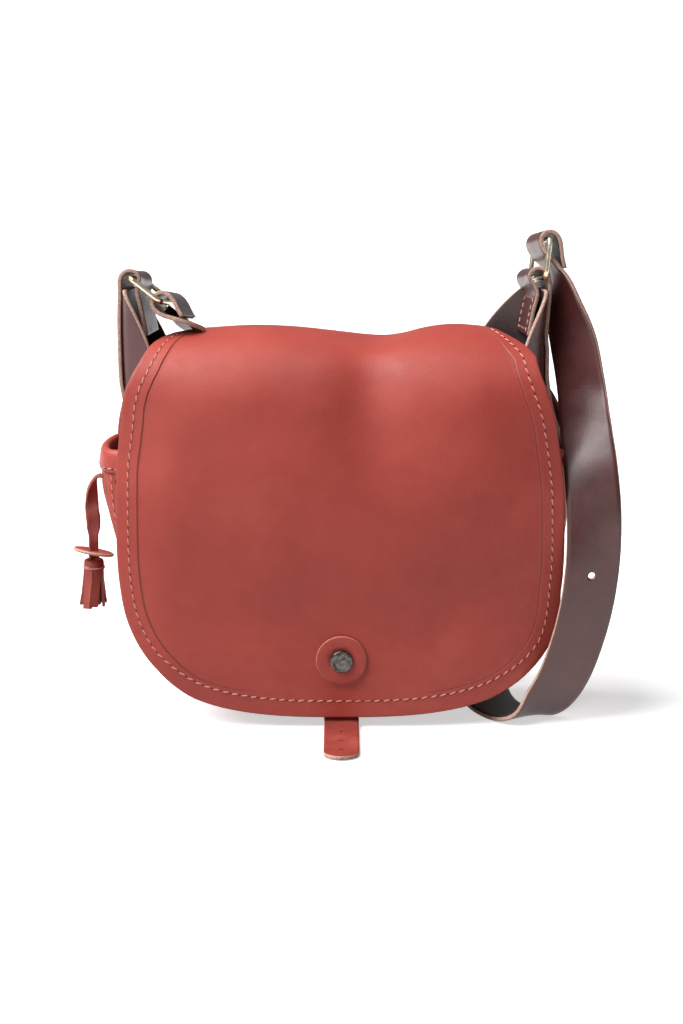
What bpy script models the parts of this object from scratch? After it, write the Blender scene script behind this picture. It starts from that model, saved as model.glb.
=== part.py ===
"""Leather crossbody bag: a saddle-shaped pouch with a deep flap, drawstring collar and ring-held strap.

Units are metres. X runs to the bag's own right in the front view, Y to the back, Z up.
The origin is on the floor, in the middle of the pouch's flat base.
"""
import math

import bmesh
import bpy
from mathutils import Matrix, Vector

mm = 0.001

# Leather, clearances and cutting
panel_leather = 2.0 * mm
flap_leather = 2.4 * mm
band_leather = 1.4 * mm
strap_leather = 2.4 * mm
tab_leather = 2.2 * mm
wing_leather = 2.2 * mm
gap = 0.3 * mm
overrun = 4.0 * mm
weld_distance = 0.01 * mm

# Pouch outline, seen from the front
pouch_half = 134 * mm
pouch_middle = 150 * mm
pouch_sag = 6 * mm
pouch_roundness = 2.5
rim_level = 157 * mm
neck_level = 140 * mm
neck_reach = 80 * mm
neck_roundness = 3.0
neck_used_share = 0.9125
back_top = neck_level + neck_reach * neck_used_share

# Pouch depth, seen from the side
front_seam = 24 * mm
front_belly = 18 * mm
back_seam = 30 * mm
back_belly = 10 * mm
belly_level = 80 * mm
belly_power = 0.6
gusset_bow = 5 * mm
bow_level = 140 * mm
bow_spread = 28 * mm

# Collar and drawstring
hem_height = 10 * mm
hem_leather = 1.8 * mm
thong_level = 141 * mm
thong_width = 9 * mm
thong_leather = 1.6 * mm
thong_slack = 0.3 * mm
exit_reach = 10 * mm
exit_slack = 0.8 * mm
tail_radius = 2.6 * mm
tail_out = 5.8 * mm
tail_length = 49 * mm
slider_radius = 12 * mm
slider_leather = 1.8 * mm
slider_slack = 0.9 * mm
slider_drop = 45 * mm
slider_tilt = 6.0
tassel_length = 29 * mm
tassel_neck = 6.2 * mm
tassel_foot = 9.0 * mm

# Flap
flap_inset = 8 * mm
flap_middle = 120 * mm
flap_drop = 113 * mm
flap_trim = 0.6 * mm
flap_lower_roundness = 3.0
flap_rise = 125 * mm
flap_upper_roundness = 3.4
flap_reach = 53 * mm
split_reach = 31 * mm
split_lip = 2 * mm
crest_rise = 7.5 * mm
edge_return = 11 * mm
return_drop = 63 * mm
top_lean = 2.4 * mm
lean_level = 150 * mm
band_width = 12 * mm

# Flap rivet and its washer
rivet_level = 42 * mm
washer_radius = 14.5 * mm
washer_leather = 1.6 * mm
cap_radius = 6.4 * mm
cap_height = 2.8 * mm
shank_radius = 2.0 * mm
plate_radius = 5.5 * mm
plate_thickness = 1.0 * mm

# Closure strap and button stud
closure_width = 20 * mm
closure_leather = 2.2 * mm
closure_top = 55 * mm
closure_out = 62 * mm
slit_length = 7 * mm
slit_width = 2.4 * mm
slit_pitch = 9 * mm
stud_level = 60 * mm
stud_head_radius = 3.4 * mm
stud_neck_radius = 1.9 * mm
stud_flange_radius = 5 * mm
stud_flange_thickness = 1.0 * mm
stud_height = 6 * mm

# Rings, tabs and wings
ring_inset = 19.2 * mm
ring_back = 6 * mm
ring_rise = 5.8 * mm
ring_wire = 1.5 * mm
ring_window = 32 * mm
ring_span = 22 * mm
ring_corner = 3.5 * mm
ring_right_angle = 8.0
ring_left_angle = -127.5
bar_axis_shares = (-0.15, 0.98, -0.13)
tab_width = 28 * mm
tab_loop_radius = 5.3 * mm
tab_foot = 125 * mm
tab_slack = 0.8 * mm
wing_drop = 17 * mm
wing_height = 51 * mm
wing_inset = 28.2 * mm
wing_spread_out = 9.2 * mm
wing_back = 4.5 * mm
wing_half_depth = 12.5 * mm
wing_flare = 11.5 * mm
wing_curl = 58 * mm
wing_flat_share = 0.62

# Shoulder straps
strap_width = 30 * mm
strap_slack = 3.3 * mm
strap_fold = 14.5 * mm
strap_end_round = 15 * mm
bag_depth = 93 * mm
strap_hole_radius = 2.0 * mm
strap_hole_start = 186 * mm
strap_hole_pitch = 100 * mm
strap_hole_count = 5

# Buckle
buckle_level = 112 * mm
buckle_inset = 60 * mm
buckle_back = 54 * mm
buckle_wire = 1.6 * mm
buckle_window = 32 * mm
buckle_height = 24 * mm
buckle_corner = 4 * mm
buckle_fold = 34 * mm
buckle_slack = 0.6 * mm
prong_wire = 1.1 * mm
prong_slack = 0.4 * mm
prong_tail = 2.0 * mm
slot_width = 5.0 * mm
slot_height = 13 * mm
keeper_width = 9 * mm
keeper_leather = 1.6 * mm
keeper_rise = 24 * mm
keeper_corner = 1.2 * mm

# Shares of the flap's height and reach, from the split down its middle
flap_profile_shares = (
    (1.000, 0.585), (0.9906, 0.623), (0.958, 0.717), (0.901, 0.811), (0.798, 0.906), (0.704, 0.962),
    (0.563, 1.000), (0.423, 0.981), (0.291, 0.936), (0.103, 0.872), (0.030, 0.849),
)

# Along the top of the flap, back to front: share of the way, of the rise and of the width
top_profile_shares = (
    (0.00, 0.00, 0.762), (0.004, 0.32, 0.766), (0.06, 0.64, 0.775), (0.20, 0.86, 0.800),
    (0.45, 1.00, 0.835), (0.70, 0.93, 0.876), (0.87, 0.66, 0.922), (0.972, 0.267, 0.980),
    (1.00, 0.00, 1.000),
)

# Long strap: shares of the flap's half width, of bag_depth and of ring_level, then its width direction
strap_right_shares = (
    (1.004, 0.032, 0.951, 0.30, -0.95, 0.00), (1.044, -0.011, 0.885, 0.60, -0.80, 0.00),
    (1.060, -0.065, 0.837, 0.85, -0.53, 0.00), (1.081, -0.161, 0.758, 0.93, -0.36, 0.00),
    (1.110, -0.290, 0.695, 1.00, 0.00, 0.00), (1.125, -0.366, 0.647, 0.98, 0.13, 0.00),
    (1.129, -0.425, 0.588, 0.97, 0.25, 0.00), (1.129, -0.457, 0.477, 0.99, 0.12, 0.00),
    (1.127, -0.462, 0.378, 1.00, 0.05, 0.00), (1.117, -0.462, 0.311, 0.99, 0.08, 0.00),
    (1.090, -0.457, 0.241, 0.99, 0.12, -0.05), (1.059, -0.452, 0.189, 0.98, 0.15, -0.12),
    (1.029, -0.441, 0.137, 0.96, 0.18, -0.20), (0.994, -0.430, 0.084, 0.93, 0.23, -0.28),
    (0.943, -0.409, 0.034, 0.87, 0.36, -0.34), (0.885, -0.371, 0.004, 0.72, 0.64, -0.25),
    (0.825, -0.312, 0.001, 0.62, 0.78, -0.06), (0.770, -0.215, 0.000, 0.75, 0.66, 0.00),
    (0.722, -0.086, 0.000, 0.95, 0.30, 0.00), (0.698, 0.065, 0.000, 1.00, 0.00, 0.00),
    (0.690, 0.237, 0.001, 1.00, 0.00, 0.00), (0.690, 0.409, 0.004, 1.00, 0.00, 0.00),
    (0.679, 0.538, 0.007, 0.85, 0.10, 0.50), (0.635, 0.645, 0.007, 0.45, 0.30, 0.84),
    (0.556, 0.715, 0.005, 0.05, 0.05, 1.00), (0.397, 0.747, 0.002, 0.00, 0.00, 1.00),
    (0.198, 0.763, 0.002, 0.00, 0.00, 1.00), (0.000, 0.769, 0.002, 0.00, 0.00, 1.00),
    (-0.238, 0.758, 0.002, 0.00, 0.00, 1.00), (-0.476, 0.731, 0.002, 0.00, 0.00, 1.00),
    (-0.698, 0.688, 0.002, 0.00, 0.00, 1.00),
)

# Short strap, from its ring over the top of the flap and down the back, in the same shares
strap_left_shares = (
    (-0.635, 0.129, 0.887, -0.45, 0.88, 0.10), (-0.579, 0.258, 0.877, -0.85, 0.50, 0.05),
    (-0.548, 0.409, 0.855, -0.97, 0.20, -0.10), (-0.532, 0.505, 0.802, -1.00, 0.00, 0.00),
    (-0.524, 0.560, 0.726, -1.00, 0.00, 0.00),
)

# A fold round a bar, along and across the strap's run, in shares of the fold's radius
fold_out_shares = ((1.75, 0.50), (1.10, 0.83))
fold_main_shares = ((1.17, -0.83), (1.92, -0.47))

# Tab's outer leg below its loop: out from the ring, and level between the foot and the ring
tab_leg_shares = (
    (1.0215, 0.812), (1.018, 0.742), (1.025, 0.675), (1.042, 0.540), (1.090, 0.400),
    (1.136, 0.270), (1.149, 0.180), (1.1455, 0.000),
)

# Free end of the closure strap, in shares of its reach forward and of its hinge height
closure_path_shares = (
    (0.000, 1.000), (0.012, 0.640), (0.065, 0.240), (0.140, 0.070), (0.270, 0.000),
    (0.500, 0.000), (0.750, 0.000), (1.000, 0.000),
)

flap_half = pouch_half - flap_inset
split_level = back_top
wing_middle_out = pouch_half - wing_inset
wing_foot = back_top - wing_drop
ring_out = pouch_half - ring_inset
ring_level = wing_foot + wing_height + ring_rise
buckle_out = flap_half - buckle_inset
bar_right = Vector(bar_axis_shares).normalized()
bar_left = Vector((-bar_right.x, bar_right.y, bar_right.z))
layer = (strap_leather + gap) / 2


def smooth(value):
    """Ease from 0 to 1 as value goes from 0 to 1."""
    value = min(max(value, 0.0), 1.0)
    return value * value * (3 - 2 * value)


def table_value(table, place):
    """Straight interpolation in a table whose first column falls."""
    for (high, first), (low, second) in zip(table, table[1:]):
        if place >= low:
            return second + (first - second) * min((place - low) / (high - low), 1.0)
    return table[-1][1]


def superellipse(level, half, middle, reach, roundness):
    """Half width of a superellipse at one level."""
    share = min(abs(level - middle) / reach, 1.0)
    return half * (1 - share ** roundness) ** (1 / roundness)


def pouch_width(level):
    """Half width of the pouch at one level."""
    return superellipse(level, pouch_half, pouch_middle, pouch_middle + pouch_sag, pouch_roundness)


def back_width(level):
    """Half width of the back panel, which narrows above the neck."""
    if level <= neck_level:
        return pouch_width(level)
    return superellipse(level, pouch_width(neck_level), neck_level, neck_reach, neck_roundness)


def belly(share, level):
    """How full the panels are: 0 at the seam and the base, 1 in the middle."""
    return (1 - min(abs(share), 1.0) ** 3) ** belly_power * smooth(level / belly_level)


def front_depth(x, level):
    """Y of the front panel's outer face."""
    return -(front_seam + front_belly * belly(x / pouch_width(level), level))


def back_depth(x, level):
    """Y of the back panel's outer face."""
    return back_seam + back_belly * belly(x / back_width(level), level)


def gusset_out(y, level):
    """Outer X of the gusset: it bows outward below the collar."""
    middle = (back_seam - front_seam) / 2
    half = (back_seam + front_seam) / 2
    across = 1 - ((y - middle) / half) ** 2
    return pouch_width(level) + gusset_bow * across * math.exp(-((level - bow_level) / bow_spread) ** 2)


def lean(level):
    """The top of the bag leans a little to the left."""
    return -top_lean * smooth((level - lean_level) / (split_level - lean_level))


def flap_width(level):
    """Half width of the flap's front at one level."""
    if level < flap_middle:
        return superellipse(level, flap_half, flap_middle, flap_drop, flap_lower_roundness)
    return superellipse(level, flap_half, flap_middle, flap_rise, flap_upper_roundness)


def flap_depth(x, level):
    """Y of the flap's outer face."""
    fade = smooth((split_level - level) / return_drop)
    middle = flap_reach * table_value(flap_profile_shares, level / split_level)
    return -middle + edge_return * abs(x / flap_half) ** 3 * fade


def flap_place(x, level, depth):
    """A point at one depth under the flap's outer face."""
    step = gap
    across = Vector((step, flap_depth(x + step, level) - flap_depth(x, level), 0.0))
    upward = Vector((0.0, flap_depth(x, level + step) - flap_depth(x, level), step))
    normal = upward.cross(across).normalized()
    return Vector((x + lean(level), flap_depth(x, level), level)) + normal * depth


def clear_scene():
    """Remove what the new file holds."""
    for item in list(bpy.data.objects):
        bpy.data.objects.remove(item, do_unlink=True)


def make_collection(name):
    """A new collection in the scene."""
    collection = bpy.data.collections.new(name)
    bpy.context.scene.collection.children.link(collection)
    return collection


clear_scene()
parts = make_collection("leather_crossbody_bag")
cutters = make_collection("cutters")


def make_material(name, colour, roughness, metallic):
    """A plain principled material."""
    material = bpy.data.materials.new(name)
    material.use_nodes = True
    shader = material.node_tree.nodes["Principled BSDF"]
    shader.inputs["Base Color"].default_value = (*colour, 1.0)
    shader.inputs["Roughness"].default_value = roughness
    shader.inputs["Metallic"].default_value = metallic
    material.diffuse_color = (*colour, 1.0)
    return material


def body_leather(name):
    """Terracotta pouch and flap leather."""
    return make_material(name, (0.43, 0.10, 0.07), 0.55, 0.0)


def bridle_leather(name):
    """Dark brown strap leather."""
    return make_material(name, (0.10, 0.045, 0.04), 0.38, 0.0)


def pale_brass(name):
    """Pale gold wire."""
    return make_material(name, (0.78, 0.62, 0.38), 0.25, 1.0)


def gunmetal(name):
    """Dark rivet metal."""
    return make_material(name, (0.16, 0.15, 0.15), 0.35, 1.0)


def add_object(name, data, finish, collection=parts):
    """Link an object, with a material of its own."""
    item = bpy.data.objects.new(name, data)
    collection.objects.link(item)
    if finish:
        data.materials.append(finish(name))
    return item


def sheet(name, rows, thickness, side, finish):
    """An open grid of points made solid: side 1 grows outward from it, -1 inward, 0 both ways."""
    mesh = bpy.data.meshes.new(name)
    columns = len(rows[0])
    points = [point for row in rows for point in row]
    faces = []
    for i in range(len(rows) - 1):
        for j in range(columns - 1):
            corner = i * columns + j
            faces.append((corner, corner + 1, corner + columns + 1, corner + columns))
    mesh.from_pydata([tuple(point) for point in points], [], faces)
    mesh.shade_smooth()
    item = add_object(name, mesh, finish)
    solid = item.modifiers.new("Leather", "SOLIDIFY")
    solid.thickness = thickness
    solid.offset = side
    return item


def catmull(points, place):
    """A smooth curve through points: place is an index with a fraction."""
    index = min(int(place), len(points) - 2)
    t = place - index
    start = points[index]
    end = points[index + 1]
    before = points[index - 1] if index > 0 else start * 2 - end
    after = points[index + 2] if index + 2 < len(points) else end * 2 - start
    return 0.5 * (2 * start + (end - before) * t + (2 * before - 5 * start + 4 * end - after) * t * t
                  + (3 * start - before - 3 * end + after) * t ** 3)


def smooth_run(points, widths, longest, turn_limit):
    """Sample a run of points and width directions, closer together where it turns."""
    centres = []
    directions = []
    for index in range(len(points) - 1):
        nudge = 0.02
        leaving = catmull(points, index + nudge) - catmull(points, index)
        arriving = catmull(points, index + 1) - catmull(points, index + 1 - nudge)
        length = (points[index + 1] - points[index]).length
        turn = leaving.angle(arriving) if min(leaving.length, arriving.length) > 0 else 0.0
        steps = max(1, math.ceil(length / longest), math.ceil(turn / turn_limit))
        for step in range(steps):
            share = step / steps
            centres.append(catmull(points, index + share))
            directions.append(widths[index].lerp(widths[index + 1], smooth(share)))
    centres.append(points[-1].copy())
    directions.append(widths[-1].copy())
    return centres, directions


def ribbon(name, points, widths, width, thickness, finish, round_start=0.0, round_end=0.0):
    """A strip of leather along points, each with the direction of its width."""
    centres, directions = smooth_run(points, widths, strap_width / 4, math.radians(15))
    lengths = [0.0]
    for first, second in zip(centres, centres[1:]):
        lengths.append(lengths[-1] + (second - first).length)
    rows = []
    for index, centre in enumerate(centres):
        ahead = centres[min(index + 1, len(centres) - 1)]
        behind = centres[max(index - 1, 0)]
        tangent = (ahead - behind).normalized()
        across = directions[index] - tangent * directions[index].dot(tangent)
        half = across.normalized() * width / 2
        half *= end_share(lengths[index], round_start) * end_share(lengths[-1] - lengths[index], round_end)
        rows.append([centre - half, centre + half])
    return sheet(name, rows, thickness, 0, finish)


def end_share(distance, length):
    """Share of the full width near a rounded end."""
    if distance >= length:
        return 1.0
    return max(math.sqrt(1 - (1 - distance / length) ** 2), 0.3)


def turned(name, profile, place, axis, finish, collection=parts):
    """A solid of revolution: profile runs down the outer side as (radius, height along the axis)."""
    mesh = bpy.data.meshes.new(name)
    edges = [(index, index + 1) for index in range(len(profile) - 1)]
    mesh.from_pydata([(radius, 0.0, height) for radius, height in profile], edges, [])
    item = add_object(name, mesh, finish, collection)
    screw = item.modifiers.new("Turn", "SCREW")
    screw.steps = 24
    screw.render_steps = 24
    screw.use_merge_vertices = True
    screw.merge_threshold = weld_distance
    turn = Vector((0, 0, 1)).rotation_difference(axis.normalized()).to_matrix().to_4x4()
    item.matrix_world = Matrix.Translation(place) @ turn
    return item


def tube(name, points, radius, finish, cyclic=False, sides=3):
    """A wire or thong: a curve with a round section and filled caps."""
    data = bpy.data.curves.new(name, "CURVE")
    data.dimensions = "3D"
    data.bevel_depth = radius
    data.bevel_resolution = sides
    data.use_fill_caps = not cyclic
    spline = data.splines.new("POLY")
    spline.points.add(len(points) - 1)
    for point, co in zip(spline.points, points):
        point.co = (*co, 1.0)
    spline.use_cyclic_u = cyclic
    return add_object(name, data, finish)


def make_mesh(item):
    """Turn a piece with modifiers into a plain mesh, so that it can be cut."""
    depsgraph = bpy.context.evaluated_depsgraph_get()
    mesh = bpy.data.meshes.new_from_object(item.evaluated_get(depsgraph))
    name = item.name
    matrix = item.matrix_world.copy()
    material = item.data.materials[0]
    bpy.data.objects.remove(item, do_unlink=True)
    mesh.name = name
    mesh.materials.clear()
    mesh.materials.append(material)
    plain = bpy.data.objects.new(name, mesh)
    parts.objects.link(plain)
    plain.matrix_world = matrix
    return plain


def cutter_from(name, build):
    """A cutting body from a function that fills a bmesh."""
    mesh = bpy.data.meshes.new(name)
    work = bmesh.new()
    build(work)
    work.to_mesh(mesh)
    work.free()
    item = add_object(name, mesh, None, cutters)
    item.hide_render = True
    item.display_type = "WIRE"
    return item


def rod_cutter(name, places, radius, length):
    """Round cutting bodies, one at each (place, axis)."""
    def build(work):
        for place, axis in places:
            turn = Vector((0, 0, 1)).rotation_difference(axis.normalized()).to_matrix().to_4x4()
            bmesh.ops.create_cone(work, cap_ends=True, segments=16, radius1=radius, radius2=radius,
                                  depth=length, matrix=Matrix.Translation(place) @ turn)
    return cutter_from(name, build)


def box_cutter(name, places, size):
    """Square cutting bodies of one size."""
    def build(work):
        for place in places:
            scale = Matrix.Diagonal((*size, 1.0))
            bmesh.ops.create_cube(work, size=1.0, matrix=Matrix.Translation(place) @ scale)
    return cutter_from(name, build)


def cut(item, cutter):
    """Cut one piece with one cutting body."""
    boolean = item.modifiers.new("Cut", "BOOLEAN")
    boolean.operation = "DIFFERENCE"
    boolean.object = cutter
    return item


def levels_between(low, high, count, power=1.0):
    """Heights from low to high, closer together near low when power is over 1."""
    return [low + (high - low) * (index / count) ** power for index in range(count + 1)]


def rounded_rectangle(half_u, half_v, corner, steps=5):
    """Corner points of a rounded rectangle, counter-clockwise from the right side's top."""
    points = []
    for quarter, (side_u, side_v) in enumerate(((1, 1), (-1, 1), (-1, -1), (1, -1))):
        for step in range(steps + 1):
            angle = math.radians(90) * (quarter + step / steps)
            u = side_u * (half_u - corner) + corner * math.cos(angle)
            v = side_v * (half_v - corner) + corner * math.sin(angle)
            points.append((u, v))
    return points


def panel_rows(width, depth, levels, columns):
    """Points of a panel, from its base up."""
    rows = []
    for level in levels:
        half = width(level)
        shares = [math.sin(math.radians(90) * (2 * index / columns - 1)) for index in range(columns + 1)]
        rows.append([Vector((half * share, depth(half * share, level), level)) for share in shares])
    return rows


def rim_path(level, first_y):
    """The collar's outer line at one level, from the left side round the front to the right side."""
    side_count = 6
    seam_y = -(front_seam - panel_leather - gap)
    side = [first_y + (seam_y - first_y) * index / side_count for index in range(side_count + 1)]
    left = [Vector((-gusset_out(y, level), y, level)) for y in side]
    right = [Vector((gusset_out(y, level), y, level)) for y in reversed(side)]
    half = pouch_width(level)
    count = 24
    shares = [math.sin(math.radians(90) * (2 * index / count - 1)) for index in range(count + 1)]
    front = [Vector((half * share, front_depth(half * share, level), level)) for share in shares]
    return left + front + right


def offset_path(path, distance):
    """Move a level path sideways: a positive distance is outward from the pouch."""
    moved = []
    for index, point in enumerate(path):
        ahead = path[min(index + 1, len(path) - 1)]
        behind = path[max(index - 1, 0)]
        tangent = (ahead - behind).normalized()
        moved.append(point + Vector((tangent.y, -tangent.x, 0.0)) * distance)
    return moved


def pouch():
    """Front and back panels, gusset, collar hem and the drawstring inside the collar."""
    low = levels_between(0.0, rim_level, 14, 1.5)
    front = sheet("front_panel", panel_rows(pouch_width, front_depth, low, 20), panel_leather, -1,
                  body_leather)
    normal = Vector((0, -1, -front_belly / belly_level)).normalized()
    seat = Vector((0, front_depth(0, stud_level), stud_level))
    front = cut(make_mesh(front), rod_cutter("stud_hole", [(seat, normal)], stud_neck_radius + gap,
                                             overrun * 3))
    head = stud_height
    flange = stud_flange_thickness
    back = -(panel_leather + gap * 2)
    profile = (
        (0, head), (stud_head_radius * 0.7, head * 0.93), (stud_head_radius, head * 0.7),
        (stud_head_radius * 0.7, head * 0.5), (stud_neck_radius, head * 0.4),
        (stud_neck_radius, flange + gap), (stud_flange_radius, flange + gap), (stud_flange_radius, gap * 2),
        (stud_neck_radius, gap * 2), (stud_neck_radius, back), (stud_flange_radius, back),
        (stud_flange_radius, back - flange), (0, back - flange),
    )
    turned("closure_stud", profile, seat, normal, gunmetal)

    high = low + levels_between(rim_level, back_top, 7)[1:]
    rows = panel_rows(back_width, back_depth, high, 20)
    sheet("back_panel", [list(reversed(row)) for row in rows], panel_leather, -1, body_leather)

    seam_y = front_seam - panel_leather - gap
    back_y = back_seam - panel_leather - gap
    across = [-seam_y + (seam_y + back_y) * index / 8 for index in range(9)]
    left = [[Vector((-gusset_out(y, level), y, level)) for y in across] for level in reversed(low)]
    right = [[Vector((gusset_out(y, level), y, level)) for y in across] for level in low]
    base = [[Vector((pouch_width(0.0) * share, y, 0.0)) for y in across] for share in (-0.5, 0.0, 0.5)]
    sheet("side_gusset", left + base + right, panel_leather, -1, body_leather)

    hem_low = offset_path(rim_path(rim_level - hem_height, back_y), gap + hem_leather / 2)
    hem_high = offset_path(rim_path(rim_level, back_y), gap + hem_leather / 2)
    sheet("rim_hem", [hem_low, hem_high], hem_leather, 0, body_leather)

    inset = -(panel_leather + gap + thong_slack + thong_leather / 2)
    start_y = -exit_reach
    rows = []
    for side in (-1, 1):
        level = thong_level + side * thong_width / 2
        rows.append(offset_path(rim_path(level, start_y), inset))
    sheet("drawstring", rows, thong_leather, 0, body_leather)


def drawstring_end():
    """The thong's free end outside the bag, with its tassel and the disc that slides on it."""
    exit_x = -gusset_out(-exit_reach, thong_level) - exit_slack
    out = exit_x - tail_out
    down = [thong_level, thong_level - tail_radius, thong_level - tail_radius * 3, thong_level - tail_length]
    points = [
        Vector((exit_x, -exit_reach, down[0])), Vector((exit_x - tail_out * 0.5, -exit_reach, down[0])),
        Vector((out, -exit_reach, down[1] - tail_radius * 0.3)), Vector((out, -exit_reach, down[2])),
        Vector((out, -exit_reach, down[3])),
    ]
    widths = [Vector((0, 1, 0))] * len(points)
    centres, _ = smooth_run(points, widths, tail_radius * 3, math.radians(18))
    tube("drawstring_tail", centres, tail_radius, body_leather)

    top = down[3] - gap
    neck = tassel_neck
    foot = tassel_foot
    length = tassel_length
    profile = (
        (0, 0), (neck * 0.75, 0), (neck, -length * 0.05), (neck, -length * 0.22),
        (neck + (foot - neck) * 0.55, -length * 0.5), (foot, -length * 0.85), (foot * 0.93, -length),
        (0, -length),
    )
    turned("tassel", profile, Vector((out, -exit_reach, top)), Vector((0, 0, 1)), body_leather)

    bore = tail_radius + slider_slack
    half = slider_leather / 2
    profile = ((bore, half), (slider_radius, half), (slider_radius, -half), (bore, -half), (bore, half))
    tilt = math.radians(slider_tilt)
    turned("cord_slider", profile, Vector((out, -exit_reach, thong_level - slider_drop)),
           Vector((-math.sin(tilt), 0, math.cos(tilt))), body_leather)


def flap_levels():
    """Heights of the flap's rows, from the split to the bottom edge."""
    lip = split_level - split_lip
    upper = [split_level] + list(reversed(levels_between(flap_middle, lip, 9)))
    bottom = flap_middle - flap_drop + flap_trim
    count = 12
    lower = [flap_middle - (flap_middle - bottom) * math.sin(math.radians(90) * index / count)
             for index in range(1, count + 1)]
    return upper + lower


def flap():
    """Top of the flap, its hinged front, and the band sewn under its edge."""
    columns = 16
    shares = [2 * index / columns - 1 for index in range(columns + 1)]
    rows = []
    for level in flap_levels():
        start = level - gap if level == split_level else level
        half = flap_width(start)
        rows.append([flap_place(half * share, start, 0.0) for share in shares])
    item = sheet("flap", rows, flap_leather, 1, body_leather)
    seat, normal = rivet_seat()
    cut(make_mesh(item), rod_cutter("flap_hole", [(seat, normal)], shank_radius + gap, overrun * 3))

    split_half = flap_width(split_level)
    rows = []
    for along, rise, width in top_profile_shares:
        half = split_half * width
        row = []
        for share in shares:
            x = half * share
            start = back_depth(x, back_top) * (1 - along) - split_reach * along
            level = back_top + crest_rise * rise + gap * max(1 - along * 4, 0)
            row.append(Vector((x + lean(level) * smooth(along * 4), start, level)))
        rows.append(row)
    sheet("flap_top", rows, flap_leather, 1, body_leather)

    outline = []
    for level in flap_levels():
        outline.append((flap_width(min(level, split_level - gap * 2)), min(level, split_level - gap * 2)))
    right = outline
    left = [(-x, level) for x, level in reversed(outline)]
    run = [Vector((x, level)) for x, level in right + left]
    depth = flap_leather + gap * 2 + band_leather / 2
    rows = []
    for index, point in enumerate(run):
        ahead = run[min(index + 1, len(run) - 1)]
        behind = run[max(index - 1, 0)]
        tangent = (ahead - behind).normalized()
        if index in (0, len(run) - 1):
            inward = Vector((-math.copysign(1, point.x), 0))
        else:
            inward = Vector((tangent.y, -tangent.x))
        row = []
        for share in (0.04, 0.5, 1.0):
            spot = point + inward * band_width * share
            row.append(flap_place(spot.x, spot.y, depth))
        rows.append(row)
    sheet("flap_edge_band", rows, band_leather, 0, body_leather)


def rivet_seat():
    """Middle of the flap rivet on the flap's outer face, and the way the face looks."""
    seat = flap_place(0.0, rivet_level, 0.0)
    inner = flap_place(0.0, rivet_level, flap_leather)
    return seat, (seat - inner).normalized()


def flap_rivet():
    """Washer, domed rivet and its back plate."""
    seat, normal = rivet_seat()
    low = gap
    high = low + washer_leather
    bore = shank_radius + gap
    profile = ((bore, high), (washer_radius, high), (washer_radius, low), (bore, low), (bore, high))
    turned("flap_washer", profile, seat, normal, body_leather)

    base = high + gap
    stack = flap_leather + gap + closure_leather + gap
    foot = -(stack + plate_thickness)
    profile = [(0, base + cap_height)]
    for angle in (25, 50, 72):
        radius = cap_radius * math.sin(math.radians(angle))
        profile.append((radius, base + cap_height * math.cos(math.radians(angle))))
    profile += [(cap_radius, base), (shank_radius, base), (shank_radius, foot), (0, foot)]
    turned("rivet_cap", profile, seat, normal, gunmetal)

    high = -stack
    low = -(stack + plate_thickness)
    bore = shank_radius + gap / 3
    profile = ((bore, high), (plate_radius, high), (plate_radius, low), (bore, low), (bore, high))
    turned("rivet_back", profile, seat, normal, gunmetal)


def closure():
    """The closure strap: its riveted upper part behind the flap, and its free end on the floor."""
    near = flap_leather + gap + closure_leather / 2
    far = near + band_leather + gap * 2
    bottom = flap_middle - flap_drop + flap_trim
    behind_band = bottom + band_width + gap
    points = []
    for level in (closure_top, rivet_level + cap_radius, rivet_level, rivet_level - cap_radius,
                  (rivet_level + behind_band) / 2):
        points.append(flap_place(0.0, level, near))
    for level in (behind_band, (bottom + behind_band) / 2, bottom + closure_leather / 2):
        points.append(flap_place(0.0, level, far))
    widths = [Vector((1, 0, 0))] * len(points)
    item = ribbon("closure_strap_root", points, widths, closure_width, closure_leather, body_leather,
                  round_start=closure_width / 2)
    seat, normal = rivet_seat()
    cut(make_mesh(item), rod_cutter("closure_hole", [(seat, normal)], shank_radius + gap, overrun * 3))

    end = points[-1]
    floor = closure_leather / 2 + gap
    drop = end.z - gap - floor
    path = []
    for out, up in closure_path_shares:
        path.append(Vector((0, end.y - closure_out * out, floor + drop * up)))
    widths = [Vector((1, 0, 0))] * len(path)
    item = ribbon("closure_tab", path, widths, closure_width, closure_leather, body_leather,
                  round_end=closure_width / 2)
    first = end.y - closure_out + closure_width
    places = [Vector((0, first + slit_pitch * index, floor)) for index in range(3)]
    cut(make_mesh(item), box_cutter("slits", places, (slit_width, slit_length, overrun * 2)))


def bar_place(side):
    """Middle of the ring's bar that the tab holds."""
    return Vector((side * ring_out - top_lean, ring_back, ring_level))


def ring_direction(side):
    """The way the ring stands from the tab's bar to its free bar, square to the bars."""
    angle = math.radians(ring_right_angle if side > 0 else ring_left_angle * -1)
    away = Vector((math.sin(angle), 0, math.cos(angle)))
    bar = bar_right if side > 0 else bar_left
    return (away - bar * away.dot(bar)).normalized()


def free_bar_place(side):
    """Middle of the ring's bar that the strap folds round."""
    return bar_place(side) + ring_direction(side) * ring_span


def ring(name, side):
    """A rectangular wire ring."""
    bar = bar_right if side > 0 else bar_left
    along = ring_direction(side)
    middle = bar_place(side) + along * ring_span / 2
    half = ring_window / 2 + ring_wire
    outline = rounded_rectangle(half, ring_span / 2, ring_corner)
    points = [middle + bar * u + along * v for u, v in outline]
    tube(name, points, ring_wire, pale_brass, cyclic=True)


def wing_out(level):
    """Outer distance of a wing's middle at one level."""
    return wing_middle_out + wing_spread_out * (level - wing_foot) / wing_height


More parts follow.
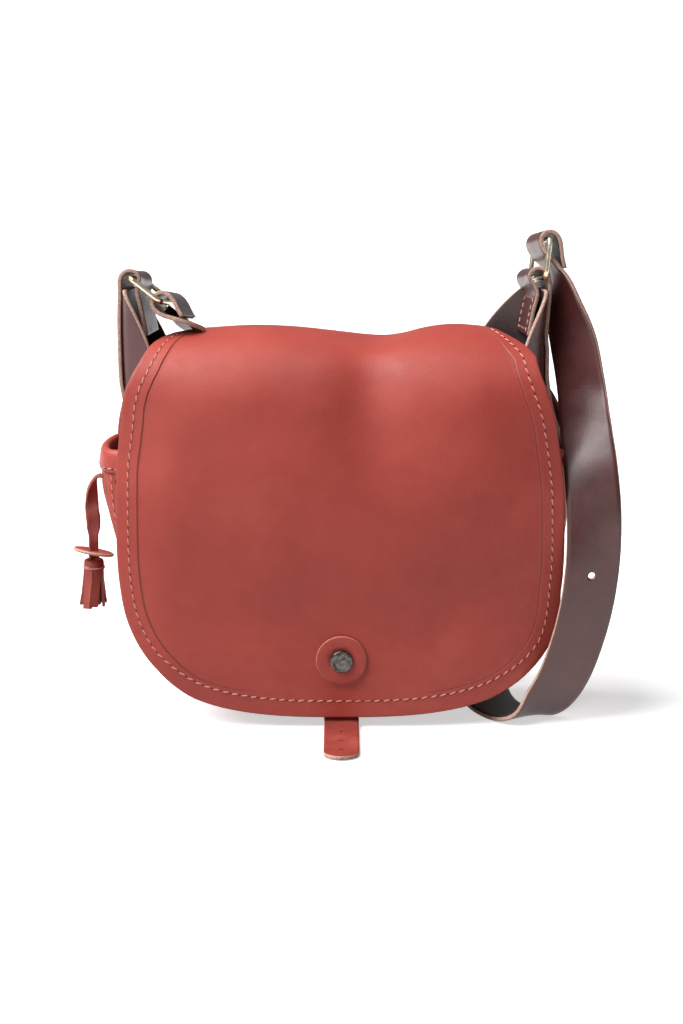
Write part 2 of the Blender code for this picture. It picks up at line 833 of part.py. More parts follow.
def wing(name, side):
    """A half-round leaf of leather between the two legs of the tab."""
    rows = []
    count = 10
    reach = wing_half_depth + wing_flare
    for index in range(count + 1):
        share = index / count
        level = wing_foot + wing_height * share
        half = wing_half_depth + wing_flare * math.sqrt(1 - share * share * 0.98)
        row = []
        for step in range(11):
            across = 2 * step / 10 - 1
            y = wing_back + half * across
            past = max(abs(half * across) / reach - wing_flat_share, 0.0)
            slope = bar_right.x / bar_right.y
            x = wing_out(level) + slope * (y - ring_back) - wing_curl * past * past
            row.append(Vector((side * x - top_lean, y, level)))
        rows.append(row if side > 0 else list(reversed(row)))
    sheet(name, rows, wing_leather, 0, bridle_leather)


def ring_tab(name, side):
    """The dark tab: inner leg on the wing, loop round the bar, long outer leg inside the gusset.

    Both loops sit a little to the left of their bars, which rest against the loops' right walls.
    """
    bar = bar_right if side > 0 else bar_left
    spacing = wing_leather / 2 + gap + tab_slack + tab_leather / 2
    top = wing_foot + wing_height
    foot = top - tab_width * 0.9
    inner = [(wing_out(level) - spacing, level) for level in (foot, (foot + top) / 2, top - tab_leather)]
    bar_rest = tab_loop_radius - tab_leather / 2 - ring_wire - gap
    loop = []
    for angle in (180, 150, 120, 90, 60, 30, 0):
        x = ring_out - side * bar_rest + tab_loop_radius * math.cos(math.radians(angle))
        level = ring_level + tab_loop_radius * math.sin(math.radians(angle))
        loop.append((x, level))
    height = ring_level - tab_foot
    outer = [(wing_out(top) + spacing, top - tab_leather)]
    outer += [(ring_out * out, tab_foot + height * up) for out, up in tab_leg_shares]
    points = []
    widths = []
    for out, level in inner + loop + outer:
        lean_share = smooth((level - rim_level) / (wing_foot - rim_level))
        points.append(Vector((side * out - top_lean * lean_share, ring_back, level)))
        widths.append(Vector((0, 1, 0)).lerp(bar, lean_share))
    ribbon(name, points, widths, tab_width, tab_leather, bridle_leather)


def fold(bar_point, bar, away, turn, wire, slack, lengths):
    """A strap's fold round a bar: from its short end, round the bar, to its main run."""
    radius = wire + slack + strap_leather / 2
    along = (away - bar * away.dot(bar)).normalized()
    across = along.cross(bar) * turn
    fold_length, run_length = lengths
    shift = (slack - gap) * 0.45
    merge = radius * 2.6
    local = [(fold_length, layer)]
    if fold_length > merge * 1.5:
        local += [((fold_length + merge) / 2, layer), (merge, layer)]
    local += [(radius * u, radius * v) for u, v in fold_out_shares]
    for angle in range(75, 286, 30):
        turned_to = math.radians(angle)
        local.append((shift + radius * math.cos(turned_to), radius * math.sin(turned_to)))
    local += [(radius * u, radius * v) for u, v in fold_main_shares]
    local.append((merge, -layer))
    if run_length > merge * 1.5:
        local.append(((run_length + merge) / 2, -layer))
    local.append((run_length, -layer))
    return [bar_point + along * u + across * v for u, v in local]


def strap_place(shares):
    """A point of a strap and its width direction, lifted clear of the floor."""
    width = Vector(shares[3:]).normalized()
    flat = math.sqrt(max(1 - width.z ** 2, 0))
    lift = strap_width / 2 * abs(width.z) + strap_leather / 2 * flat + gap
    place = Vector((flap_half * shares[0], bag_depth * shares[1], ring_level * shares[2] + lift))
    return place, width


def strap_run(table):
    """Points and width directions of a strap's table."""
    places = [strap_place(shares) for shares in table]
    return [place for place, _ in places], [width for _, width in places]


def strap_right():
    """The long strap: folded round its ring, down to the floor, under the corner and along the back."""
    away = Vector((0.41, 0, -0.91)).normalized()
    lengths = (strap_fold, strap_fold * 1.4)
    start = fold(free_bar_place(1), bar_right, away, -1, ring_wire, strap_slack, lengths)
    points, widths = strap_run(strap_right_shares)
    widths = [-bar_right] * len(start) + widths
    points = start + points
    item = ribbon("strap_right", points, widths, strap_width, strap_leather, bridle_leather,
                  round_end=strap_end_round)
    centres, directions = smooth_run(points, widths, strap_width / 4, math.radians(15))
    travelled = 0.0
    places = []
    for index in range(1, len(centres)):
        step = centres[index] - centres[index - 1]
        wanted = strap_hole_start + strap_hole_pitch * len(places)
        past_fold = centres[index].z < free_bar_place(1).z or places
        if travelled <= wanted < travelled + step.length and past_fold and len(places) < strap_hole_count:
            axis = step.cross(directions[index]).normalized()
            places.append((centres[index - 1] + step * 0.5, axis))
        travelled += step.length
    cut(make_mesh(item), rod_cutter("strap_holes", places, strap_hole_radius, overrun * 2))


def strap_left():
    """The short strap: folded round its ring, over the flap's top and down the back to the buckle."""
    away = Vector((0.78, 0, -0.62)).normalized()
    lengths = (strap_fold, strap_fold * 1.2)
    ring_end = fold(free_bar_place(-1), bar_left, away, 1, ring_wire, strap_slack, lengths)
    middle, widths = strap_run(strap_left_shares)
    bar = buckle_bar()
    radius = buckle_wire + buckle_slack + strap_leather / 2
    buckle_end = fold(bar, Vector((-1, 0, 0)), Vector((0, 0, 1)), -1, buckle_wire, buckle_slack,
                      (buckle_fold, buckle_fold + strap_leather * 2))
    points = ring_end + middle + list(reversed(buckle_end))
    widths = [bar_left] * len(ring_end) + widths + [Vector((-1, 0, 0))] * len(buckle_end)
    item = ribbon("strap_left", points, widths, strap_width, strap_leather, bridle_leather)
    slot = bar + Vector((0, 0, slot_height / 2 - prong_wire * 2 - buckle_wire - strap_leather))
    depth = (radius + strap_leather) * 2
    cut(make_mesh(item), box_cutter("prong_slot", [slot], (slot_width, depth, slot_height)))


def buckle_bar():
    """Middle of the buckle's upper bar."""
    return Vector((-buckle_out, buckle_back, buckle_level))


def buckle():
    """Buckle frame, prong and the keeper loop above it."""
    bar = buckle_bar()
    half = buckle_window / 2 + buckle_wire
    outline = rounded_rectangle(half, buckle_height / 2, buckle_corner)
    middle = bar - Vector((0, 0, buckle_height / 2))
    tube("buckle_frame", [middle + Vector((u, 0, v)) for u, v in outline], buckle_wire, pale_brass,
         cyclic=True)

    hook = buckle_wire + prong_slack + prong_wire
    points = []
    for angle in range(250, -1, -25):
        turn = math.radians(angle)
        points.append(bar + Vector((0, hook * math.cos(turn), hook * math.sin(turn))))
    reach = buckle_height + prong_tail
    points += [bar + Vector((0, hook, -reach * share)) for share in (0.5, 1.0)]
    tube("buckle_prong", points, prong_wire, pale_brass, sides=2)

    half_u = strap_width / 2 + gap + keeper_leather / 2
    half_v = strap_leather + gap / 2 + gap + keeper_leather / 2
    outline = rounded_rectangle(half_u, half_v, keeper_corner, 4)
    middle = bar + Vector((0, 0, keeper_rise))
    outline = outline + outline[:1]
    rows = []
    for side in (-1, 1):
        rise = Vector((0, 0, side * keeper_width / 2))
        rows.append([middle + Vector((u, v, 0)) + rise for u, v in outline])
    keeper = sheet("strap_keeper", rows, keeper_leather, 0, bridle_leather)
    work = bmesh.new()
    work.from_mesh(keeper.data)
    bmesh.ops.remove_doubles(work, verts=work.verts, dist=weld_distance)
    work.to_mesh(keeper.data)
    work.free()


pouch()
drawstring_end()
flap()
flap_rivet()
closure()
for side_name, side_sign in (("left", -1), ("right", 1)):
    wing("wing_" + side_name, side_sign)
    ring_tab("ring_tab_" + side_name, side_sign)
    ring("ring_" + side_name, side_sign)
strap_right()
strap_left()
buckle()
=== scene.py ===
# %% [markdown]
# # A leather crossbody bag
# The bag is a saddle-shaped pouch of soft terracotta leather. A deep flap covers its front, a drawstring
# gathers its collar, and a wide strap of dark bridle leather hangs from two wire rings. The imported model
# gives the solids and the joints. This file gives each piece its surface, and most pieces ride on the
# body that carries them. X runs to the bag's right, Y to its back and Z up. Finished places are metres, and
# sizes written in millimetres become metres with mm.

# %% Load the imported model
import math

import bmesh
import bpy
import numpy as np
from mathutils import Matrix, Vector
from mathutils.kdtree import KDTree


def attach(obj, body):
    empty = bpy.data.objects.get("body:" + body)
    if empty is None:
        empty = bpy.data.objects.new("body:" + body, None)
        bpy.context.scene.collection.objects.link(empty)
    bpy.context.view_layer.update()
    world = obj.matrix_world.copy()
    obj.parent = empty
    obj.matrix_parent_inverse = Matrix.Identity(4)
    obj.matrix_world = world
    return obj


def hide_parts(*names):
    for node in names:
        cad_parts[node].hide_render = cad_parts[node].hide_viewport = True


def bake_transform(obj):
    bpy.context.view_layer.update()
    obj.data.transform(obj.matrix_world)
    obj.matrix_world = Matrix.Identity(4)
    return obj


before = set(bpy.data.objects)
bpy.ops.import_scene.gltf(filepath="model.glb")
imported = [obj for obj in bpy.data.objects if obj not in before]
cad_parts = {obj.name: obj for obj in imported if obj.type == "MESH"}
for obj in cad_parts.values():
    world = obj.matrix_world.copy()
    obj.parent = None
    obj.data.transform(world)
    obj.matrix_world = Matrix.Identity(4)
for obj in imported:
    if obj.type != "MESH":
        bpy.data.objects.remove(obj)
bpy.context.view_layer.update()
mm = 0.001

# %% [markdown]
# ## Camera, light and floor
# A product photograph of this kind is taken with a longer lens from a little above, on a white sweep that
# is lit until it is pure white. A broad sun from the upper left models the leather, a soft lamp stands at the
# front left, and a low lamp in front brings out the straps. The lens sees white all round, yet the bag keeps
# deep shade. So the cloth round it answers by the kind of ray: bright to the camera, less bright to
# reflections and dim to the light that fills the shade, where it is a little brighter overhead. The paper
# floor does the same: it glows to the camera and in reflections, and is grey to the rest.

# %% Camera
scene = bpy.context.scene
camera_data = bpy.data.cameras.new("camera")
camera = bpy.data.objects.new("camera", camera_data)
scene.collection.objects.link(camera)
look_at = Vector((0.0, -0.045, 0.127))
elevation = math.radians(12)
camera_distance = 1.0
camera.location = look_at + Vector((0, -math.cos(elevation), math.sin(elevation))) * camera_distance
camera.rotation_euler = (math.radians(90) - elevation, 0, 0)
camera_data.sensor_fit = "VERTICAL"
camera_data.sensor_height = 36
camera_data.sensor_width = 36
camera_data.lens = 62.8
camera_data.clip_start = 0.01
scene.camera = camera
print("camera", [round(value, 3) for value in camera.location], "lens", round(camera_data.lens, 1))

# %% Colours and nodes


def linear(text):
    """Turn an sRGB hex colour into the linear colour that a shader reads."""
    out = []
    for place in (0, 2, 4):
        value = int(text[place:place + 2], 16) / 255
        out.append(value / 12.92 if value <= 0.04045 else ((value + 0.055) / 1.055) ** 2.4)
    return (*out, 1.0)


def add(tree, kind, inputs=(), **settings):
    """Add a node, set its properties, and fill or link its inputs."""
    node = tree.nodes.new(kind)
    for name, value in settings.items():
        setattr(node, name, value)
    for key, value in dict(inputs).items():
        if isinstance(value, bpy.types.NodeSocket):
            tree.links.new(value, node.inputs[key])
        else:
            node.inputs[key].default_value = value
    return node


def calc(tree, operation, *values):
    """The result of a math node on sockets or numbers."""
    return add(tree, "ShaderNodeMath", dict(enumerate(values)), operation=operation).outputs[0]


def ramp(tree, factor, stops):
    """A colour ramp: stops are (position, colour)."""
    node = add(tree, "ShaderNodeValToRGB", {"Fac": factor})
    elements = node.color_ramp.elements
    while len(elements) < len(stops):
        elements.new(0.5)
    for element, (position, colour) in zip(elements, stops):
        element.position = position
        element.color = colour
    return node.outputs["Color"]


def new_material(name):
    """A new node material with its tree and its Principled shader."""
    material = bpy.data.materials.new(name)
    material.use_nodes = True
    return material, material.node_tree, material.node_tree.nodes["Principled BSDF"]


# %% Light and floor
scene.view_settings.view_transform = "Standard"
fill_low, fill_overhead = 0.03, 0.10
mirrored_strength = 0.3
seen_strength = 1.05
scene.world = bpy.data.worlds.new("tent")
scene.world.use_nodes = True
cloth_tree = scene.world.node_tree
ray = add(cloth_tree, "ShaderNodeLightPath").outputs
direction = add(cloth_tree, "ShaderNodeTexCoord").outputs["Generated"]
height = add(cloth_tree, "ShaderNodeSeparateXYZ", {0: direction}).outputs["Z"]
fill = add(cloth_tree, "ShaderNodeMapRange", {"Value": height, "To Min": fill_low, "To Max": fill_overhead})
mirrored = add(cloth_tree, "ShaderNodeMix", {0: ray["Is Glossy Ray"], 2: fill.outputs["Result"],
                                             3: mirrored_strength})
tent = add(cloth_tree, "ShaderNodeMix", {0: ray["Is Camera Ray"], 2: mirrored.outputs[0], 3: seen_strength})
backdrop = cloth_tree.nodes["Background"]
backdrop.inputs["Color"].default_value = (1, 1, 1, 1)
cloth_tree.links.new(tent.outputs[0], backdrop.inputs["Strength"])


def softbox(name, place, target, size, power):
    """A square lamp that looks at a point."""
    data = bpy.data.lights.new(name, "AREA")
    data.energy = power
    data.size = size
    lamp = bpy.data.objects.new(name, data)
    lamp.location = place
    lamp.rotation_euler = (Vector(target) - Vector(place)).to_track_quat("-Z", "Y").to_euler()
    scene.collection.objects.link(lamp)


softbox("key", (-0.9, -0.9, 0.45), (0, 0, 0.12), 0.5, 0.6)
softbox("strap_light", (-0.40, -1.25, 0.33), (0.1, 0, 0.12), 0.35, 0.7)
sun_data = bpy.data.lights.new("broad_light", "SUN")
sun_data.energy = 4.9
sun_data.angle = math.radians(50)
sun = bpy.data.objects.new("broad_light", sun_data)
sun.rotation_euler = Vector((0.54, 0.23, -0.81)).to_track_quat("-Z", "Y").to_euler()
scene.collection.objects.link(sun)

floor_mesh = bpy.data.meshes.new("floor")
floor_mesh.from_pydata([(-9, -4, 0), (9, -4, 0), (9, 14, 0), (-9, 14, 0)], [], [(0, 1, 2, 3)])
floor = bpy.data.objects.new("floor", floor_mesh)
scene.collection.objects.link(floor)
paper, paper_tree, white = new_material("white_paper_roll")
white.inputs["Base Color"].default_value = linear("f4f3f2")
white.inputs["Roughness"].default_value = 0.8
white.inputs["Emission Color"].default_value = (1, 1, 1, 1)
white.inputs["Emission Strength"].default_value = 0.56
grey = add(paper_tree, "ShaderNodeBsdfDiffuse", {"Color": linear("8a8987")})
ray = add(paper_tree, "ShaderNodeLightPath").outputs
seen = calc(paper_tree, "MAXIMUM", ray["Is Camera Ray"], ray["Is Glossy Ray"])
both = add(paper_tree, "ShaderNodeMixShader", {0: seen, 1: grey.outputs[0], 2: white.outputs[0]})
paper_tree.links.new(both.outputs[0], paper_tree.nodes["Material Output"].inputs["Surface"])
floor_mesh.materials.append(paper)

# %% [markdown]
# ## Leather
# Both leathers are vegetable-tanned cowhide. The body is a soft, dyed hide with a matte face: fine pores,
# fine wrinkles and a slow drift of shade where the hide took the dye unevenly. The bridle leather is
# stuffed with wax, so it is smoother, darker and shinier. Noise and Voronoi textures on Object coordinates
# work at real sizes: pores about 0.9 mm apart, drawn a little coarse so that they show, wrinkles about
# 7 mm long, and clouds of shade 20 to 70 mm wide.

# %% Leather materials


pore_gap = 0.9
wrinkle_length = 7


def leather(name, deep, middle, pale, roughness, pore_depth, coat=0.0, cloud=70.0):
    """A leather face: three shades mixed by clouds, pores and wrinkles in the bump."""
    material, tree, shader = new_material(name)
    place = add(tree, "ShaderNodeTexCoord").outputs["Object"]
    clouds = add(tree, "ShaderNodeTexNoise", {"Vector": place, "Scale": 1000 / cloud, "Detail": 4.0,
                                              "Roughness": 0.55}).outputs["Fac"]
    shade = ramp(tree, clouds, [(0.34, linear(deep)), (0.52, linear(middle)), (0.70, linear(pale))])
    wrinkles = add(tree, "ShaderNodeTexNoise", {"Vector": place, "Scale": 1000 / wrinkle_length,
                                                "Detail": 3.0, "Distortion": 0.6}).outputs["Fac"]
    pores = add(tree, "ShaderNodeTexVoronoi", {"Vector": place, "Scale": 1000 / pore_gap,
                                               "Randomness": 1.0}).outputs["Distance"]
    fleck = ramp(tree, pores, [(0.05, (0.82, 0.82, 0.82, 1)), (0.35, (1, 1, 1, 1))])
    mixed = add(tree, "ShaderNodeMix", {"Factor": 0.55, 6: shade, 7: fleck}, data_type="RGBA",
                blend_type="MULTIPLY")
    tree.links.new(mixed.outputs[2], shader.inputs["Base Color"])
    gloss = add(tree, "ShaderNodeMapRange", {"Value": wrinkles, "From Min": 0.3, "From Max": 0.7,
                                             "To Min": roughness - 0.06, "To Max": roughness + 0.06})
    tree.links.new(gloss.outputs["Result"], shader.inputs["Roughness"])
    shader.inputs["IOR"].default_value = 1.48
    shader.inputs["Coat Weight"].default_value = coat
    shader.inputs["Coat Roughness"].default_value = 0.28
    low = add(tree, "ShaderNodeBump", {"Height": wrinkles, "Strength": 0.25, "Distance": 0.25 * mm})
    high = add(tree, "ShaderNodeBump", {"Height": pores, "Strength": pore_depth, "Distance": 0.12 * mm,
                                        "Normal": low.outputs["Normal"]})
    tree.links.new(high.outputs["Normal"], shader.inputs["Normal"])
    return material


body_leather = leather("dyed_cowhide_face", "a43e34", "b2463b", "bf5145", 0.52, 0.5)
bridle_leather = leather("bridle_leather_face", "45221f", "552a29", "653a37", 0.36, 0.35, 0.30, 55.0)
thong_leather = leather("thong_leather_face", "8a3830", "9c433a", "ae5046", 0.50, 0.5, 0.0, 20.0)

# %% [markdown]
# A cut edge shows the inside of the hide: short fibres, paler than the face, and dyed on the flap's own
# rim. The flesh side, the back of the leather, is fibrous, with a nap that catches light at a grazing angle,
# so it has a little sheen. The bridle leather's flesh side is waxed and smoother. The tabs' flesh side is a
# paler copy of it: painted sheen, for light that grazes the inside of their legs.

# %% Cut edges and flesh sides


def fibre(name, dark, light, roughness, sheen, grain):
    """Raw hide: short fibres in two shades."""
    material, tree, shader = new_material(name)
    place = add(tree, "ShaderNodeTexCoord").outputs["Object"]
    fibres = add(tree, "ShaderNodeTexNoise", {"Vector": place, "Scale": 1000 / grain, "Detail": 5.0,
                                              "Roughness": 0.65}).outputs["Fac"]
    shade = ramp(tree, fibres, [(0.35, linear(dark)), (0.65, linear(light))])
    tree.links.new(shade, shader.inputs["Base Color"])
    shader.inputs["Roughness"].default_value = roughness
    shader.inputs["Sheen Weight"].default_value = sheen
    shader.inputs["Sheen Roughness"].default_value = 0.5
    bump = add(tree, "ShaderNodeBump", {"Height": fibres, "Strength": 0.5, "Distance": 0.2 * mm})
    tree.links.new(bump.outputs["Normal"], shader.inputs["Normal"])
    return material


body_edge = fibre("cowhide_cut_edge", "a9594d", "c27a6c", 0.75, 0.0, 1.2)
dyed_edge = fibre("cowhide_dyed_edge", "97443b", "a85248", 0.6, 0.0, 1.2)
bridle_edge = fibre("bridle_cut_edge", "ad8474", "d9b8aa", 0.7, 0.0, 1.2)
disc_edge = fibre("disc_cut_edge", "c2917e", "dcb5a0", 0.7, 0.0, 1.2)
# painted sheen: the tabs' flesh side is a paler copy of the bridle flesh, coloured as if lit by grazing light
tab_flesh_painted_sheen = fibre("bridle_flesh_waxed", "6a4642", "835c56", 0.45, 0.2, 2.0)
body_flesh = fibre("cowhide_flesh_side", "6b332d", "834238", 0.9, 0.1, 2.0)
bridle_flesh = fibre("bridle_flesh_side", "332424", "3f2d2c", 0.42, 0.1, 2.0)
body_hide = [body_leather, body_edge, body_flesh]
bridle_hide = [bridle_leather, bridle_edge, bridle_flesh]

# %% [markdown]
# Thread is waxed polyester in a paler rose, twisted, so a wave across it stands for its two plies. The
# rings and the buckle are plated wire: polished, with faint hazing from handling. The rivet and the stud
# are burnished dark nickel with paler, worn patches.

# %% Thread and metal


def thread(name, colour, light):
    """Waxed thread with its twist in the bump."""
    material, tree, shader = new_material(name)
    place = add(tree, "ShaderNodeTexCoord").outputs["Object"]
    plies = add(tree, "ShaderNodeTexWave", {"Vector": place, "Scale": 1000 / 1.6, "Distortion": 1.0},
                bands_direction="DIAGONAL").outputs["Fac"]
    shade = ramp(tree, plies, [(0.1, linear(colour)), (0.9, linear(light))])
    tree.links.new(shade, shader.inputs["Base Color"])
    shader.inputs["Roughness"].default_value = 0.55
    bump = add(tree, "ShaderNodeBump", {"Height": plies, "Strength": 0.4, "Distance": 0.1 * mm})
    tree.links.new(bump.outputs["Normal"], shader.inputs["Normal"])
    return material


rose_thread = thread("waxed_thread_rose", "d3857a", "edb0a5")
tan_thread = thread("waxed_thread_tan", "c08a78", "dcb0a0")


def metal(name, dark, light, smooth_finish, worn_finish, patch):
    """Plated or burnished metal with hazy patches."""
    material, tree, shader = new_material(name)
    place = add(tree, "ShaderNodeTexCoord").outputs["Object"]
    haze = add(tree, "ShaderNodeTexNoise", {"Vector": place, "Scale": 1000 / patch, "Detail": 6.0,
                                            "Roughness": 0.6}).outputs["Fac"]
    shade = ramp(tree, haze, [(0.42, linear(dark)), (0.62, linear(light))])
    tree.links.new(shade, shader.inputs["Base Color"])
    shader.inputs["Metallic"].default_value = 1.0
    gloss = add(tree, "ShaderNodeMapRange", {"Value": haze, "From Min": 0.35, "From Max": 0.7,
                                             "To Min": smooth_finish, "To Max": worn_finish})
    tree.links.new(gloss.outputs["Result"], shader.inputs["Roughness"])
    bump = add(tree, "ShaderNodeBump", {"Height": haze, "Strength": 0.15, "Distance": 0.15 * mm})
    tree.links.new(bump.outputs["Normal"], shader.inputs["Normal"])
    return material


pale_brass = metal("plated_brass_wire", "dcc8a4", "f3e8d2", 0.16, 0.30, 6.0)
dark_nickel = metal("burnished_nickel", "3a3936", "66635f", 0.28, 0.42, 2.2)

# painted shade: this dark colour stands for the shade inside awl holes, the closure tab's slits and the thong's
# slot
hole_shade, _, shade_shader = new_material("awl_hole_shade")
shade_shader.inputs["Base Color"].default_value = linear("4a1c18")
shade_shader.inputs["Roughness"].default_value = 0.95

# %% [markdown]
# ## Helpers for sheet leather
# A bag is cut from flat hide, so nearly every piece is a sheet of even thickness with a rounded cut edge.
# One helper takes a grid of points on the middle of a sheet and gives it a face, a flesh side and an edge
# that bulges a little. Another sweeps an outline along a path, for straps, tabs, wires and thongs.

# %% Sheets of leather


def make_piece(name, points, faces, materials, indices=None):
    """A smooth mesh object with a material on each face."""
    mesh = bpy.data.meshes.new(name)
    mesh.from_pydata([tuple(point) for point in points], [], faces)
    for material in materials:
        mesh.materials.append(material)
    if indices is not None:
        mesh.polygons.foreach_set("material_index", np.array(indices, np.int32))
    mesh.shade_smooth()
    mesh.update()
    piece = bpy.data.objects.new(name, mesh)
    scene.collection.objects.link(piece)
    return piece


def grid_normals(grid):
    """Unit normals of a grid of points, rows by columns."""
    down = np.gradient(grid, axis=0)
    across = np.gradient(grid, axis=1)
    normals = np.cross(across, down)
    return normals / np.maximum(np.linalg.norm(normals, axis=2, keepdims=True), 1e-12)


def leather_sheet(name, grid, thickness, materials, face_out=1.0, towards=None):
    """A closed sheet whose middle is the grid: face, cut edge and flesh side are materials 0, 1 and 2."""
    rows, columns = grid.shape[:2]
    normals = grid_normals(grid) * face_out
    if towards is not None and np.sum(normals.mean(axis=(0, 1)) * np.array(towards)) < 0:
        normals = -normals
    loop = [(0, c) for c in range(columns)] + [(r, columns - 1) for r in range(1, rows)]
    loop += [(rows - 1, c) for c in range(columns - 2, -1, -1)] + [(r, 0) for r in range(rows - 2, 0, -1)]
    edge = np.array([grid[place] for place in loop])
    up = np.array([normals[place] for place in loop])
    tangent = np.roll(edge, -1, axis=0) - np.roll(edge, 1, axis=0)
    out = np.cross(tangent, up)
    out /= np.maximum(np.linalg.norm(out, axis=1, keepdims=True), 1e-12)
    middle = grid.reshape(-1, 3).mean(axis=0)
    if np.sum((edge - middle) * out) < 0:
        out = -out
    half = thickness / 2
    points = [*(grid + normals * half).reshape(-1, 3), *(grid - normals * half).reshape(-1, 3)]
    count = rows * columns
    top = [r * columns + c for r, c in loop]
    rings = [top]
    bulge = half * 0.7
    for share, level in ((0.72, 0.80), (1.0, 0.35), (1.0, -0.35), (0.72, -0.80)):
        start = len(points)
        points += list(edge + out * bulge * share + up * half * level)
        rings.append(list(range(start, start + len(loop))))
    rings.append([index + count for index in top])
    faces = []
    indices = []
    for r in range(rows - 1):
        for c in range(columns - 1):
            a, b = r * columns + c, (r + 1) * columns + c
            faces.append((a, b, b + 1, a + 1))
            faces.append((a + count, a + 1 + count, b + 1 + count, b + count))
            indices += [0, 2]
    for first, second in zip(rings, rings[1:]):
        for i in range(len(loop)):
            j = (i + 1) % len(loop)
            faces.append((first[i], first[j], second[j], second[i]))
            indices.append(1)
    piece = make_piece(name, points, faces, materials, indices)
    face_outwards(piece)
    return piece


def face_outwards(piece):
    """Turn every face of a closed mesh outward."""
    work = bmesh.new()
    work.from_mesh(piece.data)
    bmesh.ops.recalc_face_normals(work, faces=work.faces)
    if work.calc_volume(signed=True) < 0:
        bmesh.ops.reverse_faces(work, faces=work.faces)
    work.to_mesh(piece.data)
    work.free()


# %% Lines and paths


def run_along(points):
    """Distance of each point from the first one, along the line of points."""
    return np.concatenate([[0], np.cumsum(np.linalg.norm(np.diff(points, axis=0), axis=1))])


def unit(vectors):
    """Directions of length one."""
    return vectors / np.linalg.norm(vectors, axis=-1, keepdims=True)


def softened(line, times):
    """A line whose inner points are averaged with their neighbours this many times."""
    line = line.copy()
    for _ in range(times):
        line[1:-1] = (line[:-2] + 2 * line[1:-1] + line[2:]) / 4
    return line


def crowded(first, last, count):
    """Shares between two ends that lie closer together towards -1 and 1."""
    return np.sin(np.radians(90) * np.linspace(first, last, count))


def curve_through(points, step, soften=0):
    """Evenly spaced points on a smooth curve through the given ones, softened by averaging."""
    points = np.array(points, float)
    gaps = np.linalg.norm(np.diff(points[:, :3], axis=0), axis=1)
    places = np.concatenate([[0], np.cumsum(gaps ** 0.7)])
    fine = []
    for index in range(len(points) - 1):
        before = points[max(index - 1, 0)]
        start, end = points[index], points[index + 1]
        after = points[min(index + 2, len(points) - 1)]
        span = places[index + 1] - places[index]
        wide = places[index + 1] - places[max(index - 1, 0)]
        ahead = places[min(index + 2, len(points) - 1)] - places[index]
        leave = (end - before) / wide * span
        arrive = (after - start) / ahead * span
        for t in np.arange(0, 1, 0.04):
            fine.append((2 * t ** 3 - 3 * t ** 2 + 1) * start + (t ** 3 - 2 * t ** 2 + t) * leave
                        + (3 * t ** 2 - 2 * t ** 3) * end + (t ** 3 - t ** 2) * arrive)
    fine.append(points[-1])
    fine = np.array(fine)
    run = run_along(fine[:, :3])
    count = max(int(round(run[-1] / step)), 2)
    spots = np.linspace(0, run[-1], count + 1)
    out = np.stack([np.interp(spots, run, fine[:, k]) for k in range(points.shape[1])], axis=1)
    return softened(out, soften)


# %% Sweeps and turned pieces


def strap_outline(width, thickness, count=8):
    """Section of a strap: (across, up, material), with bulging cut edges."""
    half, up = width / 2, thickness / 2
    places = [(half * (2 * i / count - 1), up, 0) for i in range(count)]
    places += [(half, up, 1), (half + up * 0.18, up * 0.55, 1), (half + up * 0.22, 0, 1),
               (half + up * 0.18, -up * 0.55, 1)]
    places += [(half * (1 - 2 * i / count), -up, 2) for i in range(count)]
    places += [(-half, -up, 1), (-half - up * 0.18, -up * 0.55, 1), (-half - up * 0.22, 0, 1),
               (-half - up * 0.18, up * 0.55, 1)]
    return places


def round_outline(radius, sides=16):
    """Section of a wire."""
    turns = [2 * math.pi * i / sides for i in range(sides)]
    return [(radius * math.cos(turn), radius * math.sin(turn), 0) for turn in turns]


def sweep(name, centres, widths, outline, materials, shares=None, closed=False, cup=0.0):
    """Carry a section along a path. widths is the way its first axis points, one for all or one for each."""
    centres = np.array(centres, float)
    widths = np.array(widths, float)
    count = len(centres)
    if closed:
        tangents = np.roll(centres, -1, axis=0) - np.roll(centres, 1, axis=0)
    else:
        tangents = np.gradient(centres, axis=0)
    tangents = unit(tangents)
    side = unit(widths - tangents * np.sum(widths * tangents, axis=1, keepdims=True))
    up = np.cross(side, tangents)
    shares = np.ones(count) if shares is None else np.array(shares)
    size = len(outline)
    points = []
    for k in range(count):
        for across, rise, _ in outline:
            bend = cup * (across ** 2)
            points.append(centres[k] + side[k] * across * shares[k] + up[k] * (rise + bend))
    faces = []
    indices = []
    last = count if closed else count - 1
    for k in range(last):
        first, second = k * size, ((k + 1) % count) * size
        for i in range(size):
            j = (i + 1) % size
            faces.append((first + i, first + j, second + j, second + i))
            indices.append(outline[i][2])
    if not closed:
        edge = min(1, len(materials) - 1)
        faces.append(tuple(range(size)))
        faces.append(tuple((count - 1) * size + i for i in reversed(range(size))))
        indices += [edge, edge]
    piece = make_piece(name, points, faces, materials, indices)
    face_outwards(piece)
    return piece


def lathe(name, profile, place, axis, materials, steps=64, indices=None):
    """Turn a profile of (radius, height), in mm, round an axis. A radius of zero closes it."""
    axis = Vector(axis).normalized()
    turn = Vector((0, 0, 1)).rotation_difference(axis)
    points = []
    rings = []
    for radius, height in profile:
        ring = []
        for i in range(1 if radius == 0 else steps):
            angle = 2 * math.pi * i / steps
            spot = Vector((radius * mm * math.cos(angle), radius * mm * math.sin(angle), height * mm))
            ring.append(len(points))
            points.append(Vector(place) + turn @ spot)
        rings.append(ring)
    faces = []
    chosen = []
    for k, (first, second) in enumerate(zip(rings, rings[1:])):
        for i in range(steps):
            j = (i + 1) % steps
            if len(first) == 1:
                faces.append((first[0], second[i], second[j]))
            elif len(second) == 1:
                faces.append((first[i], second[0], first[j]))
            else:
                faces.append((first[i], second[i], second[j], first[j]))
            chosen.append(indices[k] if indices else 0)
    piece = make_piece(name, points, faces, materials, chosen)
    work = bmesh.new()
    work.from_mesh(piece.data)
    bmesh.ops.remove_doubles(work, verts=work.verts, dist=0.001 * mm)
    work.to_mesh(piece.data)
    work.free()
    face_outwards(piece)
    return piece


